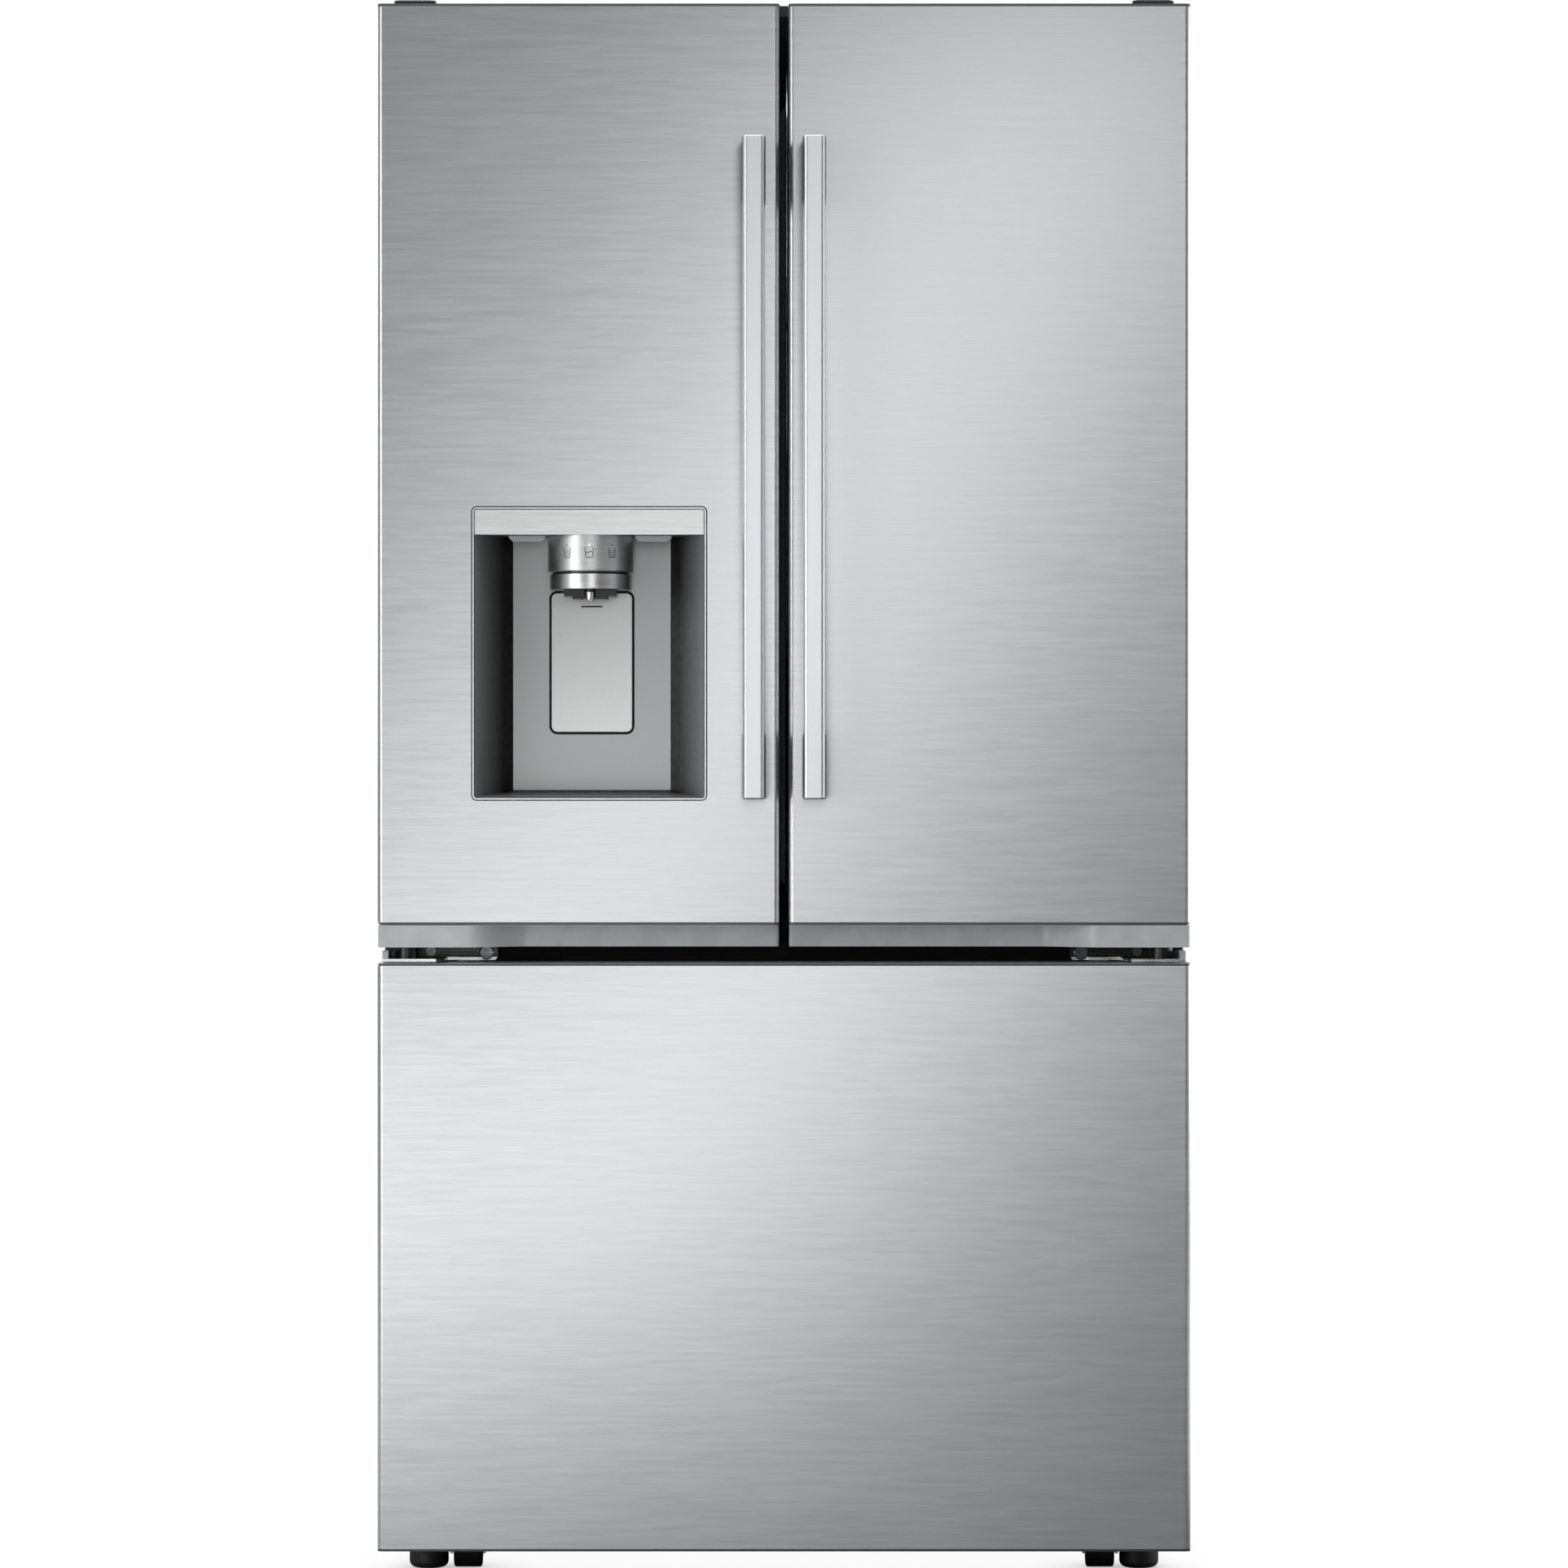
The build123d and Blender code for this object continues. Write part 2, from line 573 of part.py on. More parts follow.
def door_top_cap():
    """Lid of the door with a plug into the skin, and the bore of the upper hinge pin."""
    plate = rounded_slab(RIGHT_X, (Y_FRONT, Y_DOOR_BACK), (SKIN_Z[1], Z_DOOR[1]), CORNER)
    plate += filling(RIGHT_X, (SKIN_Z[1] - CAP_PLUG, SKIN_Z[1]))
    return plate - rod_z(HINGE_X, HINGE_Y, (Z_DOOR[1] - 40, Z_DOOR[1] + 1), BORE_R)


GRIP = {"deep": 40.0, "start": 352.0, "end": 288.0}


def door_foot_cap():
    """Moulded foot of the door: flush by the hinge, then swept back so that a hand fits over the drawer."""
    face = Y_FRONT + 0.6
    back_face = face + GRIP["deep"]
    outer, inner = X_DOOR - 0.6, X_SPLIT + 0.6
    middle = (GRIP["start"] + GRIP["end"]) / 2
    sweep = Spline((GRIP["start"], face), (middle, (face + back_face) / 2), (GRIP["end"], back_face),
                   tangents=[(-1, 0), (-1, 0)], tangent_scalars=[0.7, 0.7])
    outline = make_face([
        Line((outer, Y_DOOR_BACK), (outer, face)),
        Line((outer, face), (GRIP["start"], face)),
        sweep,
        Line((GRIP["end"], back_face), (inner, back_face)),
        Line((inner, back_face), (inner, Y_DOOR_BACK)),
        Line((inner, Y_DOOR_BACK), (outer, Y_DOOR_BACK)),
    ])
    top = Z_DOOR[0] + FOOT_CAP
    cap = extrude(Pos(0, 0, Z_DOOR[0]) * outline, top - Z_DOOR[0])
    uprights = cap.edges().filter_by(Axis.Z)
    outer_front = uprights.sort_by_distance((outer, face, top))[:1]
    inner_front = uprights.sort_by_distance((inner, back_face, top))[:1]
    cap = fillet(outer_front + inner_front, 4.0)
    cap += inset_layer(RIGHT_X, (top, top + FOOT_GROOVE), 2.5)
    cap += inset_layer(RIGHT_X, (top + FOOT_GROOVE, SKIN_Z[0]), 0.8)
    cap += filling(RIGHT_X, (SKIN_Z[0], PLUG_TOP))
    return cap - rod_z(HINGE_X, HINGE_Y, (Z_DOOR[0] - 1, Z_DOOR[0] + 22), BORE_R)


def door_inner_panel():
    """Foam-filled inner door: the block inside the skin, and the raised frame that the bins hang in."""
    z = (PLUG_TOP + CLEAR, SKIN_Z[1] - CAP_PLUG - CLEAR)
    panel = filling(RIGHT_X, z)
    y = (Y_DOOR_BACK, Y_DOOR_BACK + DIKE["deep"])
    frame = ring_face(DIKE["x"], DIKE["z"], DIKE["wall"], y)
    pin_room = rod_z(HINGE_X, HINGE_Y, (z[1] - 20, z[1] + 1), PIN_R + 3)
    return panel + frame - pin_room


GASKET = {"wide": 16.0, "x": (20.0, 424.0), "z": (716.0, 1730.0), "lift": 0.4}
GASKET_Y = (Y_DOOR_BACK, Y_CABINET - GASKET["lift"])


def door_gasket():
    """Magnetic seal round the back of the door."""
    return ring_face(GASKET["x"], GASKET["z"], GASKET["wide"], GASKET_Y)


def left_door_gasket():
    """The left door's seal, and the strip on its free edge that narrows the slit between the doors."""
    z = (783.0, 1656.0)
    web = block((-X_SPLIT, -1.6), (HINGE_Y - 1, HINGE_Y + 1), (z[0] + 4, z[1] - 4))
    head = prism([(-2.1, HINGE_Y - 5), (1.4, HINGE_Y - 5), (1.4, HINGE_Y + 5), (-2.1, HINGE_Y + 5)], z)
    head = chamfer(head.edges().filter_by(Axis.Y).group_by(Axis.X)[0], 3.0)
    return pieces(mirrored(door_gasket()), web + head)


HANDLE = {"x": 33.5, "z": (879.5, 1613.0), "wide": 24.0, "thick": 14.0, "post_wide": 26.0, "post_high": 72.0}
HANDLE_Y = (-DEPTH / 2, -DEPTH / 2 + HANDLE["thick"])


def handle_bar():
    """Flat bar with rounded edges."""
    half = HANDLE["wide"] / 2
    bar = block((HANDLE["x"] - half, HANDLE["x"] + half), HANDLE_Y, HANDLE["z"])
    bar = fillet(bar.edges().filter_by(Axis.Z), 4.5)
    return chamfer(bar.edges().group_by(Axis.Z)[0] + bar.edges().group_by(Axis.Z)[-1], 0.8)


def handle_posts():
    """Upper and lower stand-off, each as tall as the clamped end of the bar."""
    half = HANDLE["post_wide"] / 2
    made = []
    low, high = HANDLE["z"]
    for z in ((low - 0.8, low + HANDLE["post_high"]), (high - HANDLE["post_high"], high + 0.8)):
        post = block((HANDLE["x"] - half, HANDLE["x"] + half), (HANDLE_Y[1] + CLEAR / 4, Y_FRONT), z)
        made.append(fillet(post.edges().filter_by(Axis.Y), 2.5))
    return pieces(*made)


def door_bin(x, y, z):
    """Clear bin with a raised front guard."""
    return tray(x, y, z, TRAY_WALL)


RIGHT_BINS_Z = ((800.0, 890.0), (1020.0, 1110.0), (1240.0, 1330.0), (1460.0, 1550.0))


def right_door_bins():
    return pieces(*[door_bin(BIN_X, BIN_Y, z) for z in RIGHT_BINS_Z])


# ---------------------------------------------------------------- dispenser, in the left door
DISPENSER_X = (-348.0, -87.0)
DISPENSER_Z = (878.0, 1204.5)
BEZEL_R = 5.0
BEZEL_WIDE = 2.4
BEZEL_Y = (Y_FRONT - 1.2, Y_FRONT + SKIN)
NICHE_X = sum(DISPENSER_X) / 2  # middle of the niche, the nozzle and the lever
NICHE_TOP = 1174.0
NICHE_DEEP = 90.0
NICHE_BACK = Y_FRONT + NICHE_DEEP
NICHE_WALL = 2.5
NICHE_HALF = (128.0, 89.5)  # half width at the mouth and at the back
NICHE_SILL = (880.8, 888.0)  # floor height at the mouth and at the back
BULGE_Z = (850.0, 1240.0)
BULGE_DEEP = 47.0
LEVER = {"half": 46.0, "z": (954.0, 1112.0), "proud": 3.0, "thick": 5.0, "gap": 1.6}
LEVER_AXIS = (NICHE_BACK + 8.0, 1103.0)
LEVER_PIN_R = 4.0


def niche_solid(grow, front_y, back_extra):
    """Tapered block of the niche, grown by so much on each side."""
    def face(y, half, sill):
        corners = [
            (NICHE_X - half - grow, y, sill - grow),
            (NICHE_X + half + grow, y, sill - grow),
            (NICHE_X + half + grow, y, NICHE_TOP + grow),
            (NICHE_X - half - grow, y, NICHE_TOP + grow),
        ]
        return make_face(Polyline(*corners, close=True))

    mouth = face(front_y, NICHE_HALF[0], NICHE_SILL[0])
    return loft([mouth, face(NICHE_BACK + back_extra, NICHE_HALF[1], NICHE_SILL[1])])


def lever_window(extra):
    """Room for the lever in the back of the niche."""
    x = (NICHE_X - LEVER["half"] - extra, NICHE_X + LEVER["half"] + extra)
    z = (LEVER["z"][0] - extra, LEVER["z"][1] + extra)
    body = block(x, (NICHE_BACK - 20, NICHE_BACK + 20), z)
    return fillet(body.edges().filter_by(Axis.Y), 8.0)


def dispenser_recess():
    """Moulded niche, with the window of the lever and the two ears that hold its pin."""
    mouth = BEZEL_Y[1]
    shell = niche_solid(NICHE_WALL, mouth, NICHE_WALL) - niche_solid(0, mouth - 1, 0)
    shell -= lever_window(LEVER["gap"])
    ear_in = LEVER["half"] + LEVER["gap"]
    for low, high in ((-ear_in - 4, -ear_in), (ear_in, ear_in + 4)):
        y = (NICHE_BACK + NICHE_WALL - 0.1, LEVER_AXIS[0] + 8)
        shell += block((NICHE_X + low, NICHE_X + high), y, (LEVER_AXIS[1] - 8, LEVER_AXIS[1] + 8))
    return shell - rod_x((NICHE_X, *LEVER_AXIS), LEVER_PIN_R + RUNNING, 2 * ear_in + 20)


def dispenser_lever():
    """Push plate that hangs from a pin along its top."""
    x = (NICHE_X - LEVER["half"], NICHE_X + LEVER["half"])
    y = (NICHE_BACK - LEVER["proud"], NICHE_BACK - LEVER["proud"] + LEVER["thick"])
    plate = block(x, y, LEVER["z"])
    plate = fillet(plate.edges().filter_by(Axis.Y), 7.0)
    plate = chamfer(plate.faces().sort_by(Axis.Y)[0].edges(), 0.8)
    plate -= block((NICHE_X - 12, NICHE_X + 12), (y[0] - 1, y[0] + 0.8), (1095.6, 1096.8))
    rib = block((x[0] + 2, x[1] - 2), (y[1] - 0.1, LEVER_AXIS[0]), (LEVER_AXIS[1] - 3, LEVER_AXIS[1] + 3))
    pin = rod_x((NICHE_X, *LEVER_AXIS), LEVER_PIN_R, 2 * (LEVER["half"] + LEVER["gap"] + 4))
    return plate + rib + pin


def left_inner_panel():
    """Mirror image of the right inner panel, thickened behind the niche and hollowed for it."""
    panel = mirrored(door_inner_panel())
    x = (-DIKE["x"][1] + 1, -DIKE["x"][0] - 1)
    panel += block(x, (Y_DOOR_BACK - 1, Y_DOOR_BACK + BULGE_DEEP), BULGE_Z)
    front_room = block(DISPENSER_X, (Y_FRONT - 1, Y_FRONT + SKIN + 2.5), DISPENSER_Z)
    panel -= niche_solid(NICHE_WALL + 0.5, Y_FRONT, NICHE_WALL + 0.5) + front_room
    swing_deep = 27.0
    side = LEVER["half"] + LEVER["gap"] + 5.5
    pocket_y = (NICHE_BACK, NICHE_BACK + NICHE_WALL + swing_deep)
    pocket_z = (LEVER["z"][0] - 4, LEVER["z"][1] + 4)
    return panel - block((NICHE_X - side, NICHE_X + side), pocket_y, pocket_z)


def dispenser_bezel():
    """Thin metal frame round the niche and the header plate."""
    frame = block(DISPENSER_X, BEZEL_Y, DISPENSER_Z)
    frame = fillet(frame.edges().filter_by(Axis.Y), BEZEL_R)
    x = (DISPENSER_X[0] + BEZEL_WIDE, DISPENSER_X[1] - BEZEL_WIDE)
    z = (DISPENSER_Z[0] + BEZEL_WIDE, DISPENSER_Z[1] - BEZEL_WIDE)
    hole = block(x, (BEZEL_Y[0] - 1, BEZEL_Y[1] + 1), z)
    return frame - fillet(hole.edges().filter_by(Axis.Y), BEZEL_R - BEZEL_WIDE)


def dispenser_header():
    """Brushed plate above the niche."""
    x = (DISPENSER_X[0] + BEZEL_WIDE + CLEAR, DISPENSER_X[1] - BEZEL_WIDE - CLEAR)
    z = (NICHE_TOP, DISPENSER_Z[1] - BEZEL_WIDE - CLEAR)
    plate = block(x, (BEZEL_Y[0] + 0.2, BEZEL_Y[1]), z)
    top = plate.edges().filter_by(Axis.Y).group_by(Axis.Z)[-1]
    return fillet(top, BEZEL_R - BEZEL_WIDE)


NOZZLE_Y = Y_FRONT + 50.0
RING = {"r": 48.0, "z": (1133.6, NICHE_TOP - 0.1), "neck_r": 43.0, "bore_r": 18.0}
COLLAR = {"r": 46.0, "z": (1113.6, 1130.6)}


def in_front_of_niche_back(shape):
    """What of a shape lies in front of the back wall of the niche."""
    front = block((NICHE_X - 80, NICHE_X + 80), (Y_FRONT, NICHE_BACK - 0.1), (1050, 1200))
    return shape & front


def dispenser_control_ring():
    """Round housing with the touch keys on its face."""
    ring = rod_z(NICHE_X, NOZZLE_Y, RING["z"], RING["r"])
    ring = fillet(ring.edges().group_by(Axis.Z)[0], 1.2)
    ring += rod_z(NICHE_X, NOZZLE_Y, (COLLAR["z"][1], RING["z"][0] + 1), RING["neck_r"])
    return in_front_of_niche_back(ring)


def dispenser_nozzle():
    """Lower collar, the dark outlet block under it, and the bright water spout."""
    collar = rod_z(NICHE_X, NOZZLE_Y, COLLAR["z"], COLLAR["r"])
    collar = fillet(collar.edges().group_by(Axis.Z)[0], 1.0)
    under = COLLAR["z"][0]
    spout_y = NOZZLE_Y - 24
    outlet = block((NICHE_X - 29, NICHE_X + 29), (spout_y, NOZZLE_Y + 18), (under - 7.5, under))
    lip = block((NICHE_X - 20, NICHE_X + 20), (spout_y + 2, NOZZLE_Y + 10), (under - 10.5, under - 7.5))
    outlet = outlet + lip - rod_z(NICHE_X, spout_y, (under - 12, under), 6.2)
    outlet -= rod_z(NICHE_X, NOZZLE_Y + 4, (under - 12, under - 1), 12.0)
    spout = rod_z(NICHE_X, spout_y, (under - 9, under), 5.0)
    spout -= rod_z(NICHE_X, spout_y, (under - 10, under - 3), 3.4)
    return pieces(in_front_of_niche_back(collar), outlet, spout)


def dispenser_lights():
    """Two lamp lenses under the ceiling of the niche."""
    lens_z = (NICHE_TOP - 6.4, NICHE_TOP - 0.1)
    lens = block((NICHE_X + 50.5, NICHE_X + 91.0), (Y_FRONT + 28, Y_FRONT + 48), lens_z)
    lens = chamfer(lens.edges().filter_by(Axis.Y).group_by(Axis.Z)[0], 4.0)
    other = Pos(2 * NICHE_X, 0, 0) * mirrored(lens)
    return pieces(lens, other)


ICE_Z = (BULGE_Z[1] + 0.5, DIKE["z"][1] - DIKE["wall"] - 0.5)


def ice_maker_housing():
    """Insulated ice compartment on the inside of the left door, above the niche."""
    x = (-BIN_X[1], -BIN_X[0])
    body = block(x, (Y_DOOR_BACK + CLEAR, BIN_Y[1]), ICE_Z)
    body = fillet(body.faces().sort_by(Axis.Y)[-1].edges(), 8.0)
    back = BIN_Y[1]
    seam = ring_face((x[0] + 10, x[1] - 10), (ICE_Z[0] + 10, ICE_Z[1] - 10), 2.0, (back - 2, back + 1))
    latch = block((x[1] - 34, x[1] - 18), (back - 5, back + 1), (1420, 1500))
    return body - seam - latch


def left_door_bins():
    """A deep bin under the niche, and a shallow one behind it."""
    x = (-BIN_X[1], -BIN_X[0])
    lower = door_bin(x, BIN_Y, (DIKE["z"][0] + DIKE["wall"] + 0.5, BULGE_Z[0] - 0.5))
    upper = door_bin((x[0] + 1, x[1] - 1), (Y_DOOR_BACK + BULGE_DEEP + CLEAR, BIN_Y[1]), (990.0, 1080.0))
    return pieces(lower, upper)


# ---------------------------------------------------------------- flip mullion
MULLION_PIN_R = 4.0
MULLION = {"x": 44.0, "y": Y_CABINET + 11.8, "half": 10.8, "long": 72.0, "z": (752.0, 1686.0)}


def mullion_bar():
    """Bar that closes the slit between the doors from inside, round at its hinge. It is folded back."""
    x = (-MULLION["x"] - MULLION["half"], -MULLION["x"] + MULLION["half"])
    y = (MULLION["y"], MULLION["y"] + MULLION["long"])
    bar = block(x, y, MULLION["z"])
    bar = fillet(bar.edges().filter_by(Axis.Z).group_by(Axis.Y)[-1], 3.0)
    bar += rod_z(-MULLION["x"], MULLION["y"], MULLION["z"], MULLION["half"])
    through = (MULLION["z"][0] - 1, MULLION["z"][1] + 1)
    return bar - rod_z(-MULLION["x"], MULLION["y"], through, MULLION_PIN_R + RUNNING)


def mullion_hinge():
    """Two arms on the inner frame of the left door, with the long pin that the mullion turns on."""
    arm_x = (-DIKE["x"][0], -MULLION["x"] + 7.0)
    low, high = MULLION["z"][0] - 8, MULLION["z"][1] + 3.5
    made = rod_z(-MULLION["x"], MULLION["y"], (low, high), MULLION_PIN_R)
    for z in ((low, MULLION["z"][0] - 1), (MULLION["z"][1] + 0.5, high)):
        made += block(arm_x, (MULLION["y"] - 6, MULLION["y"] + 7), z)
    return made


# ---------------------------------------------------------------- freezer drawer
DRAWER_LIP = 1.2  # light edge on top, and the groove under it
DRAWER_SKIN_Z = (Z_DRAWER[0] + 2.5, Z_DRAWER[1] - 2 * DRAWER_LIP)
DRAWER_X = (-X_DOOR, X_DOOR)
DRAWER_CAP = 32.0


def drawer_skin():
    return folded_skin(DRAWER_X, DRAWER_SKIN_Z)


def drawer_end_caps():
    """Foot cap, and top cap with the channel that the fingers hook into."""
    low, high = DRAWER_SKIN_Z
    foot = rounded_slab(DRAWER_X, (Y_FRONT, Y_DOOR_BACK), (Z_DRAWER[0], low), CORNER)
    foot += filling(DRAWER_X, (low, low + CAP_PLUG))
    head = rounded_slab(DRAWER_X, (Y_FRONT, Y_DOOR_BACK), (Z_DRAWER[1] - DRAWER_LIP, Z_DRAWER[1]), CORNER)
    head += inset_layer(DRAWER_X, (high, Z_DRAWER[1] - DRAWER_LIP), 1.5)
    head += filling(DRAWER_X, (high - DRAWER_CAP, high))
    channel = block((-330, 330), (Y_FRONT + 12, Y_FRONT + 62), (high - 22, Z_DRAWER[1] + 1))
    channel = fillet(channel.edges().filter_by(Axis.X).group_by(Axis.Z)[0], 8.0)
    return pieces(foot, head - channel)


def drawer_inner_panel():
    """Foam-filled block inside the drawer's skin, with a shallow frame on its back."""
    z = (DRAWER_SKIN_Z[0] + CAP_PLUG + CLEAR, DRAWER_SKIN_Z[1] - DRAWER_CAP - CLEAR)
    frame = ring_face((-382.0, 382.0), (150.0, 640.0), 24.0, (Y_DOOR_BACK, Y_DOOR_BACK + 22))
    return filling(DRAWER_X, z) + frame


def drawer_gasket():
    return ring_face((-430.0, 430.0), (94.0, 692.0), 13.0, GASKET_Y)


RAIL_Z = (350.0, 396.0)
RAIL_Y = (-283.0, 285.0)


def slide_rails():
    """Outer members of the two telescopic slides, fixed to the freezer's walls."""
    wall = X_CAVITY - PLASTIC
    rail = block((wall - 16, wall), RAIL_Y, RAIL_Z)
    rail -= block((wall - 17, wall - 2), (RAIL_Y[0] - 1, RAIL_Y[1] + 1), (RAIL_Z[0] + 3, RAIL_Z[1] - 3))
    return both(rail)


def slide_middles():
    """Middle members: a smaller channel inside each outer one."""
    wall = X_CAVITY - PLASTIC - 2.6
    z = (RAIL_Z[0] + 5, RAIL_Z[1] - 5)
    member = block((wall - 12.4, wall), (RAIL_Y[0], RAIL_Y[1] - 8), z)
    member -= block((wall - 14, wall - 1.8), (RAIL_Y[0] - 1, RAIL_Y[1]), (z[0] + 2.5, z[1] - 2.5))
    return both(member)


def slide_inners():
    """Inner members on the drawer, with the angle that the bin's rim rests on."""
    z = (RAIL_Z[0] + 10, RAIL_Z[1] - 10)
    bar = block((386.0, 397.5), (Y_DOOR_BACK, RAIL_Y[1] - 15), z)
    angle = block((374.0, 387.0), (Y_DOOR_BACK + 24, 150.0), (z[0], z[0] + 3))
    return both(bar + angle)


LOWER_BIN = {"x": 368.0, "y": (-276.0, 148.0), "z": (140.0, 368.0), "rim": 384.0}
UPPER_BASKET = {"x": 378.0, "y": (-230.0, 180.0), "z": (425.0, 560.0), "rim": 397.0}


def rimmed_tray(size, rim_z):
    """Open bin with a flange along both sides."""
    half = size["x"]
    bin_box = tray((-half, half), size["y"], size["z"], TRAY_WALL)
    rim = block((half - 1, size["rim"]), (size["y"][0] + 12, size["y"][1] - 12), rim_z)
    return bin_box + rim + mirrored(rim)


def freezer_lower_bin():
    top = RAIL_Z[0] + 13.2
    return rimmed_tray(LOWER_BIN, (top, top + 4))


def freezer_upper_basket():
    top = RUNNER["z"][1] + 0.4
    return rimmed_tray(UPPER_BASKET, (top, top + 4))


# ---------------------------------------------------------------- the sub-parts
SUBPARTS = {
    "cabinet_shell": cabinet_sheets,
    "cabinet_foam": cabinet_foam,
    "fridge_liner": fridge_liner,
    "freezer_liner": freezer_liner,
    "center_crossbar": center_crossbar,
    "base_frame": base_frame,
    "machine_cover": machine_cover,
    "power_cord_gland": power_cord_gland,
    "water_inlet_valve": water_inlet_valve,
    "compressor": compressor,
    "condenser_coil": condenser_coil,
    "condenser_fan_shroud": condenser_fan_shroud,
    "condenser_fan_blade": condenser_fan_blade,
    "top_hinge_brackets": lambda: both(top_hinge_bracket()),
    "top_hinge_covers": lambda: both(top_hinge_cover()),
    "middle_hinge_brackets": lambda: both(middle_hinge_bracket()),
    "hinge_bolts": hinge_bolts,
    "glass_shelves": glass_shelves,
    "shelf_trims": shelf_trims,
    "interior_drawers": interior_drawers,
    "fridge_air_duct": fridge_air_duct,
    "interior_light": interior_light,
    "front_rollers": lambda: rollers(ROLLER_Y["front"]),
    "rear_rollers": lambda: rollers(ROLLER_Y["rear"]),
    "leveling_foot_left": lambda: leveling_foot(-1),
    "leveling_foot_right": lambda: leveling_foot(1),
    "left_door_skin": left_door_skin,
    "left_door_inner_panel": left_inner_panel,
    "left_door_top_cap": lambda: mirrored(door_top_cap()),
    "left_door_bottom_cap": lambda: mirrored(door_foot_cap()),
    "left_door_gasket": left_door_gasket,
    "left_handle_bar": lambda: mirrored(handle_bar()),
    "left_handle_posts": lambda: pieces(mirrored(handle_posts())),
    "left_door_bins": left_door_bins,
    "ice_maker_housing": ice_maker_housing,
    "mullion_hinge": mullion_hinge,
    "mullion_bar": mullion_bar,
    "dispenser_fascia": lambda: pieces(dispenser_bezel(), dispenser_header()),
    "dispenser_recess": dispenser_recess,
    "dispenser_control_ring": dispenser_control_ring,
    "dispenser_nozzle": dispenser_nozzle,
    "dispenser_lights": dispenser_lights,
    "dispenser_lever": dispenser_lever,
    "right_door_skin": door_skin,
    "right_door_inner_panel": door_inner_panel,
    "right_door_top_cap": door_top_cap,
    "right_door_bottom_cap": door_foot_cap,
    "right_door_gasket": door_gasket,
    "right_handle_bar": handle_bar,
    "right_handle_posts": handle_posts,
    "right_door_bins": right_door_bins,
    "drawer_skin": drawer_skin,
    "drawer_inner_panel": drawer_inner_panel,
    "drawer_end_caps": drawer_end_caps,
    "drawer_gasket": drawer_gasket,
    "slide_rails": slide_rails,
    "slide_middles": slide_middles,
    "slide_inners": slide_inners,
    "freezer_lower_bin": freezer_lower_bin,
    "freezer_upper_basket": freezer_upper_basket,
}

os.makedirs("parts", exist_ok=True)
for name, make in SUBPARTS.items():
    export_step(make(), f"parts/{name}.step")
print(len(SUBPARTS), "sub-parts")
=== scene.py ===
"""Looks of the french door refrigerator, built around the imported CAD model.

Metres. +Z is up and the doors face -Y. The CAD nodes keep their shapes and get procedural
materials. The pieces made here are the small visible things that CAD leaves plain.
"""
import math

import bmesh
import bpy
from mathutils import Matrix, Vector

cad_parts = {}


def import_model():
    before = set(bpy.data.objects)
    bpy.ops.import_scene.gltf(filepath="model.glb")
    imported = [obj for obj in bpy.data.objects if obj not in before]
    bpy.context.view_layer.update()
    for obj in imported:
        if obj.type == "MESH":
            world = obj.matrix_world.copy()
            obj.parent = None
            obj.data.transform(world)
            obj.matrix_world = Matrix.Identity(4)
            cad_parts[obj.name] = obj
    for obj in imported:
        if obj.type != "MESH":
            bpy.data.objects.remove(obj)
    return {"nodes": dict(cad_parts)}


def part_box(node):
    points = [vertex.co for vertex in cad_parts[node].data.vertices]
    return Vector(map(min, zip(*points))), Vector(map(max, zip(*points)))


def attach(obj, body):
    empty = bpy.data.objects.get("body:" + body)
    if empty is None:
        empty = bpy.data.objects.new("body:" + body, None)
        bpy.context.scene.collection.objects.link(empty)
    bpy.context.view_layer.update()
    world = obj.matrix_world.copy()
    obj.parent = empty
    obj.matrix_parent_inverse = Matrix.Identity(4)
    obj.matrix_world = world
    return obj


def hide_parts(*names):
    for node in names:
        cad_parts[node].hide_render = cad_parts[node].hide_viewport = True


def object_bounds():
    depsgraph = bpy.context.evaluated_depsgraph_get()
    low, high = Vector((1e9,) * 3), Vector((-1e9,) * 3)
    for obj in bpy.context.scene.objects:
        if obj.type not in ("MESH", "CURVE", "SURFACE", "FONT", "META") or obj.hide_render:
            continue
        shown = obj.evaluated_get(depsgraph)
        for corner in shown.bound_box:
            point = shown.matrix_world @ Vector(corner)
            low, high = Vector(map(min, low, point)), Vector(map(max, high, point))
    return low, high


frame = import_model()
CAD_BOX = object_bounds()
NODES = frame["nodes"]

MM = 0.001
DOOR_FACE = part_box("right_door_skin")[0].y
HINGE_Y = DOOR_FACE + 46 * MM
BLACK_BASE = (0.008, 0.008, 0.009)


